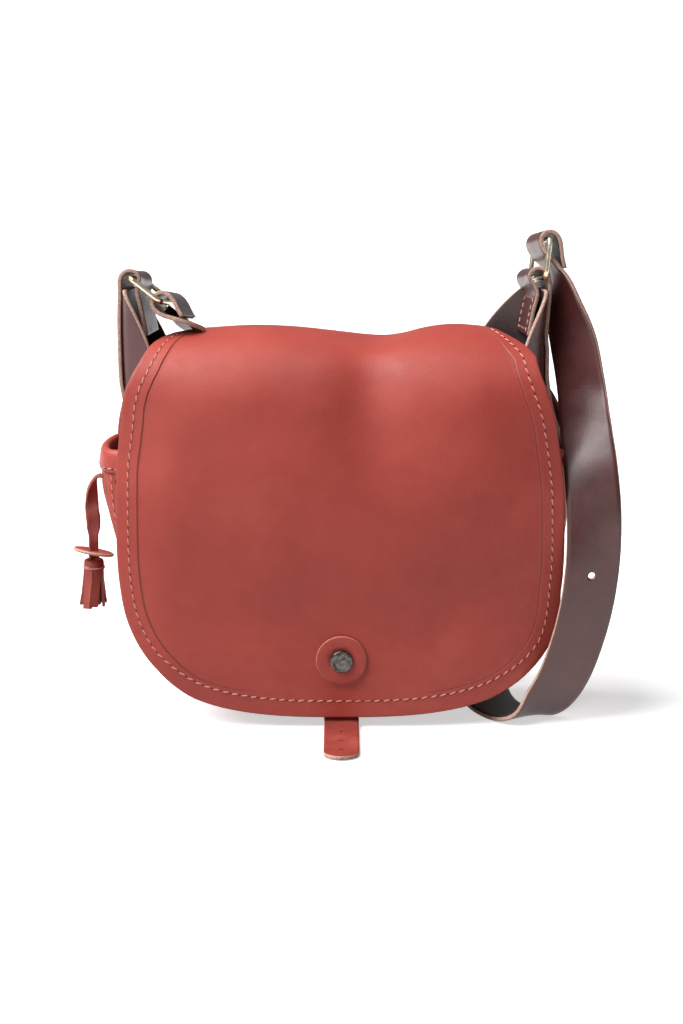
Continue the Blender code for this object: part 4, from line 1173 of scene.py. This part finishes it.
base_x = np.linspace(-base_half, base_half, 40)[1:-1]
base_rows = np.array([[(x, y, base_rise(y, 0)) for y in gusset_y] for x in base_x])
gusset_face = np.concatenate([side_rows(-1), base_rows, side_rows(1)[::-1]]) * mm
inward = np.stack([-gusset_face[..., 0], 0 * gusset_face[..., 1], 0.09 - gusset_face[..., 2]], axis=-1)
inward = unit(inward)
normals = grid_normals(gusset_face)
normals *= np.where(np.sum(normals * inward, axis=-1, keepdims=True) > 0, 1, -1)
gusset_grid = gusset_face + normals * panel_thickness / 2
gusset_out_sign = 1.0 if np.sum(grid_normals(gusset_grid) * inward) < 0 else -1.0
gusset = leather_sheet("gusset_strip", gusset_grid, panel_thickness,
                       body_hide, face_out=gusset_out_sign)
carry(gusset, "root", "body_leather", "side_gusset")

# %% Collar and drawstring


def rim_line(level, first_y, count=41):
    """The pouch's outer line at one level, from the left side round the front to the right side, in mm."""
    side_y = np.linspace(first_y, -21.7, 16)
    left = np.stack([-gusset_out(side_y, level), side_y], axis=1)
    shares = crowded(-1, 1, count)
    half = pouch_width(level)
    front_x = half * shares
    pressed = front_x - push_in(front_edge, level) * np.maximum(shares, 0) ** 2
    across = np.stack([pressed, front_depth(front_x, level)], axis=1)
    right = left[::-1] * np.array([-1, 1])
    right[:, 0] -= push_in(right[:, 1], level)
    return softened(np.concatenate([left, across[1:-1], right]), 3)


def beside_rim(section, first_y):
    """Rows of points: the section is a list of (distance outward, level), in mm."""
    rows = []
    for away, level in section:
        line = rim_line(min(level, rim_level), first_y)
        along = unit(np.gradient(line, axis=0))
        out = np.stack([along[:, 1], -along[:, 0]], axis=1)
        place = line + out * away
        rows.append(np.c_[place, np.full(len(place), level)])
    return np.array(rows) * mm


collar_section = [(1.2, 146.8), (1.25, 149), (1.3, 151.5), (1.3, 154), (1.2, 156.2), (0.8, 157.5), (0, 158.3),
                  (-1, 158.6), (-2, 158.3), (-2.8, 157.5), (-3.1, 156.2), (-3.1, 153), (-3.1, 149.5)]
collar = leather_sheet("collar_fold", beside_rim(collar_section, 27.7), 1.5 * mm,
                       body_hide, towards=(0, 0, 1))
carry(collar, "root", "body_leather", "rim_hem")
collar_line = beside_rim([(2.05, 148.6)], 27.0)[0]
collar_out = beside_rim([(3.05, 148.6)], 27.0)[0] - collar_line
collar_stitches = sew("collar_stitches", [list(zip(collar_line + collar_out * 0.1, collar_out * 1000))],
                      slant=10.0)
carry(collar_stitches, "root", "body_leather")

thong_section = [(-3.1, 136.5), (-3.1, 139.5), (-3.1, 142.5), (-3.1, 145.5)]
inner_thong = leather_sheet("drawstring_inside", beside_rim(thong_section, -10), 1.6 * mm,
                            [thong_leather, body_edge, body_flesh], towards=(0, 1, 0))
carry(inner_thong, "root", "body_leather", "drawstring")

# %% [markdown]
# The pouch's seams are sewn through from outside, 3.5 mm inside the edge of each panel. Where the thong
# passes through the front panel beside the flap, a narrow dark oval lies on the panel as painted shade for its
# slot.

# %% Seams and the slot's painted shade
seam_levels = np.concatenate([np.linspace(143, 12, 60), np.linspace(12, 0, 12)[1:]])
seam_left = np.stack([-pouch_width(seam_levels), seam_levels], axis=1)
seam_edge = np.concatenate([seam_left, seam_left[::-1] * np.array([-1, 1])])


def on_front(line, lift):
    """Points and normals on the front panel's outer face; the line holds x and level in mm."""
    place = np.stack([line[:, 0], front_depth(line[:, 0], line[:, 1]), line[:, 1]], axis=1)
    right = np.stack([line[:, 0] + 0.5, front_depth(line[:, 0] + 0.5, line[:, 1]), line[:, 1]], axis=1)
    above = np.stack([line[:, 0], front_depth(line[:, 0], line[:, 1] + 0.5), line[:, 1] + 0.5], axis=1)
    normal = unit(np.cross(right - place, above - place))
    place[:, 0] -= push_in(front_edge, place[:, 2]) * np.maximum(place[:, 0] / pouch_width(place[:, 2]), 0) ** 2
    place[:, 2] += base_rise(place[:, 1], place[:, 2])
    return list(zip((place + normal * lift) * mm, normal))


front_seam = inset_line(seam_edge, 3.5, 1.0, 4)
front_stitches = sew("front_seam_stitches", [on_front(front_seam, 0.15)])
carry(front_stitches, "root", "body_leather")
back_top_run = hide_run[crest_place + int(np.argmax(hide_levels[crest_place:] < 196))]
behind_rows = row_places[row_places >= back_top_run]
behind_half = np.interp(behind_rows, row_places, hide_half)
back_left = np.stack([-behind_half, behind_rows], axis=1)
back_edge = np.concatenate([back_left, back_left[::-1] * np.array([-1, 1])])
back_stitches = sew("back_seam_stitches", [on_hide(inset_line(back_edge, -3.5 * mm), 0.15 * mm)])
carry(back_stitches, "root", "body_leather")

# painted shade: a thin dark oval on the panel stands for the shade in the thong's slot
slot_place, slot_normal = on_front(np.array([[-127.5, 140.5]]), 0.1)[0]
slot = lathe("thong_slot", [(0, 0.1), (1.7, 0.08), (2.0, 0), (1.7, -0.2), (0, -0.2)], (0, 0, 0), (0, 0, 1),
             [hole_shade], 24)
narrow = Matrix.Diagonal((0.5, 1.0, 1.0, 1.0))
turn_slot = Vector((0, 0, 1)).rotation_difference(Vector(slot_normal)).to_matrix().to_4x4()
slot.data.transform(Matrix.Translation(slot_place) @ turn_slot @ narrow)
carry(slot, "root", "body_leather")

# %% [markdown]
# ## Flap rivet
# A round leather washer lies on the flap under a burnished cap. The cap is bare: a shallow dish with a
# raised rim. Its shank goes through the flap and the closure strap, and a plate holds it behind.

# %% Rivet
rivet_level = 42.0
rivet_run = float(np.interp(rivet_level, hide_levels[:crest_place], hide_run[:crest_place]))
rivet_seat, rivet_normal = (value[0] for value in hide_frame(np.array([0.0]), np.array([rivet_run])))
washer_profile = [(2.3, 1.35), (6.4, 1.4), (7.6, 1.75), (9.0, 1.9), (13.4, 1.9), (14.1, 1.75), (14.5, 1.35),
                  (14.6, 0.95), (14.4, 0.45), (14.0, 0.2), (2.3, 0.2), (2.3, 1.35)]
washer = lathe("rivet_washer", washer_profile, rivet_seat, rivet_normal, [body_leather, body_edge], 96,
               [0, 0, 0, 0, 0, 1, 1, 1, 1, 0, 0])
carry(washer, "flap", "body_leather", "flap_washer")
cap_profile = [(0, 3.75), (2.2, 3.7), (4.3, 3.55), (4.9, 3.6), (5.3, 3.95), (5.75, 4.1), (6.2, 3.9), (6.5, 3.4),
               (6.5, 2.7), (6.3, 2.0), (5.9, 1.6), (2.0, 1.6), (2.0, -7.0), (0, -7.0)]
cap = lathe("rivet_cap_dish", cap_profile, rivet_seat, rivet_normal, [dark_nickel], 64)
carry(cap, "flap", "gunmetal", "rivet_cap")
plate_profile = [(2.1, -5.15), (5.2, -5.15), (5.5, -5.4), (5.5, -5.9), (5.0, -6.3), (3.4, -6.45), (2.1, -6.5),
                 (2.1, -5.15)]
plate = lathe("rivet_plate", plate_profile, rivet_seat, rivet_normal, [dark_nickel], 48)
carry(plate, "flap", "gunmetal", "rivet_back")

# %% [markdown]
# ## Closure strap
# The closure strap is riveted behind the flap. Its free end hangs down to the floor and lies forward on it,
# with three slits, the way a strap rests when it isn't buttoned. The slits fit over a small button stud on
# the front panel. The slits and the long strap's holes are punched by one tree: it sets a round punch on
# each point, turned to the leather's face, and cuts the sheet with all of them.

# %% Punch tree


def punch_tree():
    """Nodes that cut round holes through a sheet, one at each point."""
    tree, given = new_tree("punched_holes", [("Sheet", "Object"), ("Radius", "Float"), ("Stretch", "Float"),
                                             ("Depth", "Float"), ("Wall", "Material")])
    sheet = add(tree, "GeometryNodeObjectInfo", {"Object": given["Sheet"]}, transform_space="ORIGINAL")
    punch = add(tree, "GeometryNodeMeshCylinder", {"Vertices": 24, "Radius": given["Radius"],
                                                   "Depth": given["Depth"]})
    normal = add(tree, "GeometryNodeInputNamedAttribute", {"Name": "face_normal"}, data_type="FLOAT_VECTOR")
    across = add(tree, "GeometryNodeInputNamedAttribute", {"Name": "across"}, data_type="FLOAT_VECTOR")
    turned = add(tree, "FunctionNodeAxesToRotation", {"Primary Axis": normal.outputs["Attribute"],
                                                      "Secondary Axis": across.outputs["Attribute"]},
                 primary_axis="Z", secondary_axis="X")
    size = add(tree, "ShaderNodeCombineXYZ", {"X": given["Stretch"], "Y": 1.0, "Z": 1.0})
    points = add(tree, "GeometryNodeMeshToPoints", {"Mesh": given["Geometry"]})
    punches = add(tree, "GeometryNodeInstanceOnPoints", {"Points": points.outputs["Points"],
                                                         "Instance": punch.outputs["Mesh"],
                                                         "Rotation": turned.outputs["Rotation"],
                                                         "Scale": size.outputs["Vector"]})
    real = add(tree, "GeometryNodeRealizeInstances", {"Geometry": punches.outputs["Instances"]})
    dark = add(tree, "GeometryNodeSetMaterial", {"Geometry": real.outputs["Geometry"],
                                                 "Material": given["Wall"]})
    cut = add(tree, "GeometryNodeMeshBoolean", {"Mesh 1": sheet.outputs["Geometry"]}, operation="DIFFERENCE",
              solver="EXACT")
    tree.links.new(dark.outputs["Geometry"], cut.inputs["Mesh 2"])
    add(tree, "NodeGroupOutput", {"Geometry": cut.outputs["Mesh"]})
    return tree


punched = punch_tree()


def punch(sheet, holes, radius, wall, stretch=1.0, depth=8.0 * mm):
    """Cut holes in a sheet: each hole is (place, face normal, direction across)."""
    name = sheet.name
    mesh = bpy.data.meshes.new(name + "_holes")
    mesh.from_pydata([tuple(place) for place, _, _ in holes], [], [])
    for label, index in (("face_normal", 1), ("across", 2)):
        layer = mesh.attributes.new(label, "FLOAT_VECTOR", "POINT")
        layer.data.foreach_set("vector", np.array([hole[index] for hole in holes], np.float32).ravel())
    made = grow(name + "_cut", mesh, punched, {"Sheet": sheet, "Radius": radius, "Stretch": stretch,
                                               "Depth": depth, "Wall": wall})
    bpy.data.objects.remove(sheet, do_unlink=True)
    made.name = name
    print(name, "holes", len(holes), "faces", len(made.data.polygons))
    return made


# %% Closure strap


def end_shares(route, first=0.0, last=0.0):
    """Share of the full width along a route whose ends are rounded over these lengths."""
    run = run_along(route)
    shares = np.ones(len(route))
    for length, away in ((first, run), (last, run[-1] - run)):
        if length:
            near = np.clip(1 - away / length, 0, 1)
            shares = np.minimum(shares, np.maximum(np.sqrt(1 - near ** 2), 0.12))
    return shares


def behind_flap(level, depth):
    """A point behind the middle of the flap: a level and a depth below the outer face, in mm."""
    run = float(np.interp(level, hide_levels[:crest_place], hide_run[:crest_place]))
    place, normal = hide_frame(np.array([0.0]), np.array([run]))
    return place[0] - normal[0] * depth * mm


root_points = [behind_flap(level, depth) for level, depth in ((55, 3.8), (48, 3.8), (42, 3.8), (35.5, 3.9),
                                                                (27, 4.6), (19, 5.8), (13, 5.8), (9, 5.8))]
root_route = curve_through(root_points, 0.8 * mm, 4)
closure_root = sweep("closure_strap_upper", root_route, (-1, 0, 0), strap_outline(20 * mm, 2.2 * mm),
                     body_hide, end_shares(root_route, first=10 * mm))
carry(closure_root, "flap", "body_leather", "closure_strap_root")

tab_points = np.array([(0, -38.3, 8.4), (0, -38.9, 5.8), (0, -42.4, 3.1), (0, -47.0, 1.9), (0, -56, 1.45),
                       (0, -69.3, 1.4), (0, -84.8, 1.4), (0, -100.3, 1.7)]) * mm
tab_route = curve_through(tab_points, 0.7 * mm, 3)
tab_shares = end_shares(tab_route, last=9 * mm)
tab = sweep("closure_strap_end", tab_route, (-1, 0, 0), strap_outline(19.6 * mm, 2.2 * mm, 16),
            [thong_leather, disc_edge, body_flesh], tab_shares)
slits = [((0, y * mm, 0.0014), (0, 0, 1), (1, 0, 0)) for y in (-58, -73, -88)]
# painted shade: the slits' walls take the dark hole colour, standing for the shade inside the cuts
tab = punch(tab, slits, 0.55 * mm, hole_shade, stretch=2.4)
carry(tab, "closure_tab", "body_leather", "closure_tab")

stud_normal = Vector((0, -1, -0.225)).normalized()
stud_place = (0, front_depth(np.array(0.0), np.array(60.0)) * mm, 0.060)
stud_profile = [(0, 6.0), (1.6, 5.95), (2.7, 5.5), (3.35, 4.7), (3.4, 3.9), (2.9, 3.2), (2.1, 2.8), (1.9, 2.2),
                (1.9, -2.3), (5.0, -2.3), (5.0, -3.2), (0, -3.2)]
button = lathe("button_stud", stud_profile, stud_place, stud_normal, [dark_nickel], 40)
carry(button, "root", "gunmetal", "closure_stud")

# %% [markdown]
# ## Wings, tabs and rings
# At each end of the mouth a half-round wing of bridle leather stands up, and a tab of the same leather goes
# over it like a saddle: a short inner leg, a loop round the ring's bar, and a long outer leg sewn inside
# the gusset. The rings are rectangles bent from 3 mm wire. Both stand askew, as they do on the real bag, and
# their bars mirror each other. The right wing curls in further at its back.

# %% Wings
bar_right = unit(np.array([-0.15, 0.98, -0.13]))
bar_left = bar_right * np.array([-1, 1, 1])
wing_foot = 196
wing_height = 51
ring_level = 252.8
ring_out = 114.8
ring_wire = 1.5
tab_width = 28
leaf_thickness = 2.2
edge_curl = 58
rear_curl = 19
# The tabs' outer legs, from the foot up: distance out and level.
tab_legs = {1: [(129.0, 125), (129.2, 148), (127.4, 159.5), (121.6, 176.1), (118.2, 194), (117.7, 211.3),
                (116.9, 219.8), (117.3, 228.8), (118.3, 244.8)],
            -1: [(131.5, 125), (129.4, 148), (125.6, 159.5), (121.4, 176.1), (121.6, 194), (122.0, 208),
                 (122.0, 220), (121.8, 232), (121.2, 244.8)]}


def wing_out(level):
    """Outer distance of a wing's middle, in mm."""
    return 105.8 + 9.2 * (level - wing_foot) / wing_height


def wing(name, side, node):
    """A half-round leaf, curled inward at its front and back edges."""
    shares = np.concatenate([[-0.33, -0.22, -0.11], crowded(0, 1, 26)])[:, None]
    across = np.linspace(-1, 1, 37)[None, :]
    level = wing_foot + wing_height * shares
    half = 12.5 + 11.5 * np.sqrt(1 - np.maximum(shares, 0) ** 2 * 0.985)
    y = 4.5 + half * across
    past = np.maximum(np.abs(half * across) / 24 - 0.62, 0)
    x = wing_out(level) + bar_right[0] / bar_right[1] * (y - 6) - edge_curl * past ** 2
    leg = np.interp(level, [z for _, z in tab_legs[side]], [out for out, _ in tab_legs[side]])
    x = x + (leg - 2.6 - wing_out(level)) * (1 - smooth((np.abs(y - 6) - 12) / 13))
    if side > 0:
        x = x - rear_curl * (np.maximum(y - 7, 0) / 21.5) ** 2
    grid = np.stack([side * x - lean_top, y, level + 0 * y], axis=-1) * mm
    leaf = leather_sheet(name, grid, leaf_thickness * mm, bridle_hide, towards=(side, 0, 0))
    return carry(leaf, "root", "bridle_leather", node)


wing("wing_leaf_left", -1, "wing_left")
wing("wing_leaf_right", 1, "wing_right")

# %% Tabs


def ring_tab(name, side, node):
    """The saddle of leather that holds a ring: points run up the inner leg and down the outer one."""
    bar = bar_right if side > 0 else bar_left
    inner_gap = 3.3
    top = wing_foot + wing_height
    foot = top - 0.9 * tab_width
    profile = [(wing_out(level) - inner_gap, level) for level in (foot, (foot + top) / 2, top - 2.2)]
    rest, drop = (2.4, 0) if side > 0 else (1.0, 1.4)
    for turn in range(180, -1, -30):
        angle = math.radians(turn)
        profile.append((ring_out - side * rest + 5.3 * math.cos(angle),
                        ring_level - drop + 5.3 * math.sin(angle)))
    profile += tab_legs[side][::-1]
    points = []
    for out, level in profile:
        share = float(smooth((level - 157) / (wing_foot - 157)))
        width = np.array([0, 1, 0]) * (1 - share) + bar * share
        points.append((*(np.array([side * out - lean_top * share, 6, level]) * mm), *width))
    route = curve_through(points, 1.0 * mm, 3)
    belt = sweep(name, route[:, :3], -side * route[:, 3:],
                 strap_outline(tab_width * mm, leaf_thickness * mm, 14),
                 [bridle_leather, bridle_edge, tab_flesh_painted_sheen])
    carry(belt, "root", "bridle_leather", node)
    return route


ring_tab("ring_saddle_left", -1, "ring_tab_left")
tab_right_route = ring_tab("ring_saddle_right", 1, "ring_tab_right")


def route_frame(route, distance, step):
    """Place, face normal and direction across at a distance along a strip's route."""
    run = run_along(route[:, :3])
    place = np.array([np.interp(distance, run, route[:, k]) for k in range(6)])
    ahead = np.array([np.interp(distance + step, run, route[:, k]) for k in range(3)]) - place[:3]
    along = unit(ahead)
    across = unit(place[3:] - along * np.dot(place[3:], along))
    return place[:3], np.cross(across, along), across


def box_of_stitches(route, first, last, width, lift, side):
    """A closed box of stitches on a strip, between two places of its route, on the face that side gives."""
    seam = []
    half = width / 2
    corners = [(first, -half), (last, -half), (last, half), (first, half), (first, -half)]
    for (start, left), (end, right) in zip(corners, corners[1:]):
        count = max(int(math.hypot(end - start, right - left) / (1.0 * mm)), 2)
        for share in np.linspace(0, 1, count, endpoint=False):
            place, face, across = route_frame(route, start + (end - start) * share, 0.5 * mm)
            face = face * side
            seam.append((place + across * (left + (right - left) * share) + face * lift, face))
    return seam


tab_seams = [box_of_stitches(tab_right_route, 3 * mm, 21 * mm, 19 * mm, 1.2 * mm, -1)]
tab_stitches = sew("saddle_stitches_inner", tab_seams, pitch=4.2 * mm, bar=3.1 * mm, radius=0.4 * mm,
                   yarn=tan_thread)
carry(tab_stitches, "root", "bridle_leather")

# %% Rings
ring_half_width = 17.5
ring_reach = 22


def bar_place(side):
    """Middle of the bar that the tab holds, in mm."""
    return np.array([side * ring_out - lean_top, 6, ring_level])


def ring_direction(side):
    """The way a ring stands from that bar to its free bar."""
    angle = math.radians(8.0 if side > 0 else 127.5)
    away = np.array([math.sin(angle), 0, math.cos(angle)])
    bar = bar_right if side > 0 else bar_left
    return unit(away - bar * np.dot(away, bar))


def rounded_loop(half_u, half_v, corner, straight=1.2, steps=10):
    """A rounded rectangle as evenly shaped points (u, v), counter-clockwise."""
    loop = []
    for quarter, (su, sv) in enumerate(((1, 1), (-1, 1), (-1, -1), (1, -1))):
        for step in range(steps + 1):
            angle = math.radians(90) * (quarter + step / steps)
            loop.append((su * (half_u - corner) + corner * math.cos(angle),
                         sv * (half_v - corner) + corner * math.sin(angle)))
        start = np.array(loop[-1])
        near = [(-1, 1), (-1, -1), (1, -1), (1, 1)][quarter]
        turn = math.radians(90) * (quarter + 1)
        end = np.array([near[0] * (half_u - corner) + corner * math.cos(turn),
                        near[1] * (half_v - corner) + corner * math.sin(turn)])
        count = int(np.linalg.norm(end - start) / straight)
        loop += [tuple(start + (end - start) * k / count) for k in range(1, count)]
    return loop


def wire_ring(name, side, body, node):
    """A rectangular ring of round wire."""
    bar = bar_right if side > 0 else bar_left
    along = ring_direction(side)
    middle = bar_place(side) + along * ring_reach / 2
    loop = rounded_loop(ring_half_width, ring_reach / 2, 3.5)
    points = np.array([middle + bar * u + along * v for u, v in loop]) * mm
    ring = sweep(name, points, np.cross(bar, along), round_outline(ring_wire * mm, 20), [pale_brass],
                 closed=True)
    return carry(ring, body, "pale_brass", node)


wire_ring("ring_wire_right", 1, "ring_right", "ring_right")
wire_ring("ring_wire_left", -1, "ring_left", "ring_left")

# %% [markdown]
# ## Shoulder strap
# The strap is bridle leather 30 mm wide and 2.4 mm thick, with a pale cut edge. It folds round the right
# ring's free bar, and its short end lies behind it. The long part falls in front of the right side to the
# floor, turns under the bag's rounded corner and runs on its edge behind the bag, where the buckle would
# hold it. Each row of its middle line gives a place, in shares of the flap's half width, of the bag's depth
# and of the ring's height, and the direction of the strap's width.

# %% Strap routes
flap_half = 126
bag_depth = 93
strap_width = 30
strap_thickness = 2.4
layer_gap = 0.3
long_shares = [
    (0.996, 0.030, 0.951, 0.50, -0.86, 0.00), (1.036, -0.010, 0.885, 0.72, -0.69, 0.00),
    (1.060, -0.045, 0.837, 0.78, -0.62, 0.00), (1.085, -0.115, 0.758, 0.78, -0.62, 0.00),
    (1.094, -0.215, 0.695, 0.80, -0.60, 0.00), (1.100, -0.305, 0.647, 0.87, -0.49, 0.00),
    (1.111, -0.400, 0.588, 0.93, -0.36, 0.00), (1.122, -0.480, 0.500, 0.96, -0.20, 0.00),
    (1.122, -0.510, 0.400, 1.00, 0.00, 0.00), (1.106, -0.515, 0.311, 0.99, 0.08, 0.00),
    (1.082, -0.512, 0.241, 0.99, 0.12, -0.05), (1.058, -0.504, 0.189, 0.98, 0.15, -0.12),
    (1.030, -0.490, 0.137, 0.96, 0.18, -0.20), (0.992, -0.458, 0.082, 0.93, 0.25, -0.28),
    (0.943, -0.409, 0.034, 0.87, 0.36, -0.34), (0.885, -0.371, 0.004, 0.72, 0.64, -0.25),
    (0.825, -0.312, 0.001, 0.62, 0.78, -0.06), (0.770, -0.215, 0.000, 0.75, 0.66, 0.00),
    (0.722, -0.086, 0.000, 0.95, 0.30, 0.00), (0.698, 0.065, 0.000, 1.00, 0.00, 0.00),
    (0.690, 0.237, 0.001, 1.00, 0.00, 0.00), (0.690, 0.409, 0.004, 1.00, 0.00, 0.00),
    (0.679, 0.538, 0.007, 0.85, 0.10, 0.50), (0.635, 0.645, 0.007, 0.45, 0.30, 0.84),
    (0.556, 0.715, 0.005, 0.05, 0.05, 1.00), (0.397, 0.747, 0.002, 0.00, 0.00, 1.00),
    (0.198, 0.763, 0.002, 0.00, 0.00, 1.00), (0.000, 0.769, 0.002, 0.00, 0.00, 1.00),
    (-0.238, 0.758, 0.002, 0.00, 0.00, 1.00), (-0.476, 0.731, 0.002, 0.00, 0.00, 1.00),
    (-0.698, 0.688, 0.002, 0.00, 0.00, 1.00)]
short_shares = [
    (-0.655, 0.190, 0.873, -0.50, 0.86, -0.06), (-0.605, 0.310, 0.860, -0.85, 0.50, -0.05),
    (-0.560, 0.425, 0.838, -0.97, 0.20, -0.10), (-0.535, 0.515, 0.790, -1.00, 0.00, 0.00),
    (-0.524, 0.560, 0.726, -1.00, 0.00, 0.00)]


def strap_places(table):
    """Points and width directions of a table of shares, in mm, lifted clear of the floor."""
    places = []
    for out, back, up, *width in table:
        width = unit(np.array(width))
        flat = math.sqrt(max(1 - width[2] ** 2, 0))
        lift = strap_width / 2 * abs(width[2]) + strap_thickness / 2 * flat + layer_gap
        places.append((flap_half * out, bag_depth * back, ring_level * up + lift, *width))
    return places


def fold(bar_point, bar, away, turn, wire, slack, short_run, main_run):
    """A strap's fold round a bar, from its short end to its main run, in mm."""
    radius = wire + slack + strap_thickness / 2
    layer = (strap_thickness + layer_gap) / 2
    along = unit(away - bar * np.dot(away, bar))
    across = np.cross(along, bar) * turn
    shift = (slack - layer_gap) * 0.45
    merge = radius * 2.6
    local = [(short_run, layer)]
    if short_run > merge * 1.5:
        local += [((short_run + merge) / 2, layer), (merge, layer)]
    local += [(radius * 1.75, radius * 0.50), (radius * 1.10, radius * 0.83)]
    for angle in range(75, 286, 30):
        local.append((shift + radius * math.cos(math.radians(angle)), radius * math.sin(math.radians(angle))))
    local += [(radius * 1.17, -radius * 0.83), (radius * 1.92, -radius * 0.47), (merge, -layer)]
    if main_run > merge * 1.5:
        local.append(((main_run + merge) / 2, -layer))
    local.append((main_run, -layer))
    return [bar_point + along * u + across * v for u, v in local]


def free_bar(side):
    """Middle of the ring's bar that the strap folds round, in mm."""
    return bar_place(side) + ring_direction(side) * ring_reach


# %% Long strap
ring_fold = fold(free_bar(1), bar_right, np.array([0.41, 0, -0.91]), turn=1, wire=ring_wire, slack=3.3,
                 short_run=19, main_run=20.3)
long_points = [(*point, *-bar_right) for point in ring_fold] + strap_places(long_shares)
long_route = curve_through(np.array(long_points) * ([mm] * 3 + [1] * 3), 1.6 * mm, 8)
long_ends = end_shares(long_route[:, :3], last=15 * mm)
long_strap = sweep("long_strap_band", long_route[:, :3], -long_route[:, 3:],
                   strap_outline(strap_width * mm, strap_thickness * mm, 12), bridle_hide, long_ends)
long_length = float(np.linalg.norm(np.diff(long_route[:, :3], axis=0), axis=1).sum())
holes = [route_frame(long_route, distance * mm, 1 * mm) for distance in range(232, 533, 100)]
long_strap = punch(long_strap, holes, 2.0 * mm, bridle_edge)
carry(long_strap, "strap_right", "bridle_leather", "strap_right")
print("long strap", round(long_length, 3), "m")

# %% [markdown]
# ## Short strap and buckle
# The short strap folds round the left ring's free bar, lies over the top of the hide and hangs down the
# back, where it folds round the bar of a rectangular buckle. A prong turns on that bar in a slot, and a
# keeper loop waits above for the long strap's end.

# %% Short strap
buckle_bar = np.array([-66.0, 54.0, 112.0])
buckle_wire_radius = 1.6
left_fold = fold(free_bar(-1), bar_left, np.array([0.78, 0, -0.62]), turn=1, wire=ring_wire, slack=3.3,
                 short_run=15, main_run=15)
low_fold = fold(buckle_bar, np.array([-1.0, 0, 0]), np.array([0, 0, 1.0]), turn=-1, wire=buckle_wire_radius,
                slack=0.6, short_run=34, main_run=38.8)
short_points = [(*point, *bar_left) for point in left_fold] + strap_places(short_shares)
short_points += [(*point, -1, 0, 0) for point in reversed(low_fold)]
short_route = curve_through(np.array(short_points) * ([mm] * 3 + [1] * 3), 1.2 * mm, 3)
short_strap = sweep("short_strap_band", short_route[:, :3], -short_route[:, 3:],
                    strap_outline(strap_width * mm, strap_thickness * mm, 14), bridle_hide)
prong_slot = [(buckle_bar * mm + np.array([0, 0, 0.0003]), (0, 1, 0), (1, 0, 0))]
short_strap = punch(short_strap, prong_slot, 6.4 * mm, bridle_edge, stretch=0.4, depth=24 * mm)
carry(short_strap, "strap_left", "bridle_leather", "strap_left")

# %% Buckle
frame_loop = np.array([(buckle_bar[0] + u, buckle_bar[1], buckle_bar[2] - 12 + v)
                       for u, v in rounded_loop(17.6, 12, 4.0)]) * mm
buckle_wire = sweep("buckle_wire", frame_loop, (0, 1, 0), round_outline(buckle_wire_radius * mm, 20),
                    [pale_brass], closed=True)
carry(buckle_wire, "strap_left", "pale_brass", "buckle_frame")
prong_points = [buckle_bar + 3.1 * np.array([0, math.cos(math.radians(a)), math.sin(math.radians(a))])
                for a in range(250, -1, -25)]
prong_points += [buckle_bar + np.array([0, 3.1, -26 * share]) for share in (0.25, 0.5, 0.75, 1.0)]
prong_route = curve_through(np.array(prong_points) * mm, 0.6 * mm, 2)
prong_shares = end_shares(prong_route, first=0.8 * mm, last=1.6 * mm)
prong = sweep("buckle_pin", prong_route, (1, 0, 0), round_outline(1.1 * mm, 14), [pale_brass], prong_shares)
carry(prong, "buckle_prong", "pale_brass", "buckle_prong")
keeper_loop = np.array([(buckle_bar[0] + u, buckle_bar[1] + v, buckle_bar[2] + 24)
                        for u, v in rounded_loop(16.1, 3.65, 1.6, 1.0, 6)]) * mm
keeper = sweep("keeper_loop", keeper_loop, (0, 0, 1), strap_outline(9 * mm, 1.6 * mm, 8), bridle_hide,
               closed=True)
carry(keeper, "strap_left", "bridle_leather", "strap_keeper")
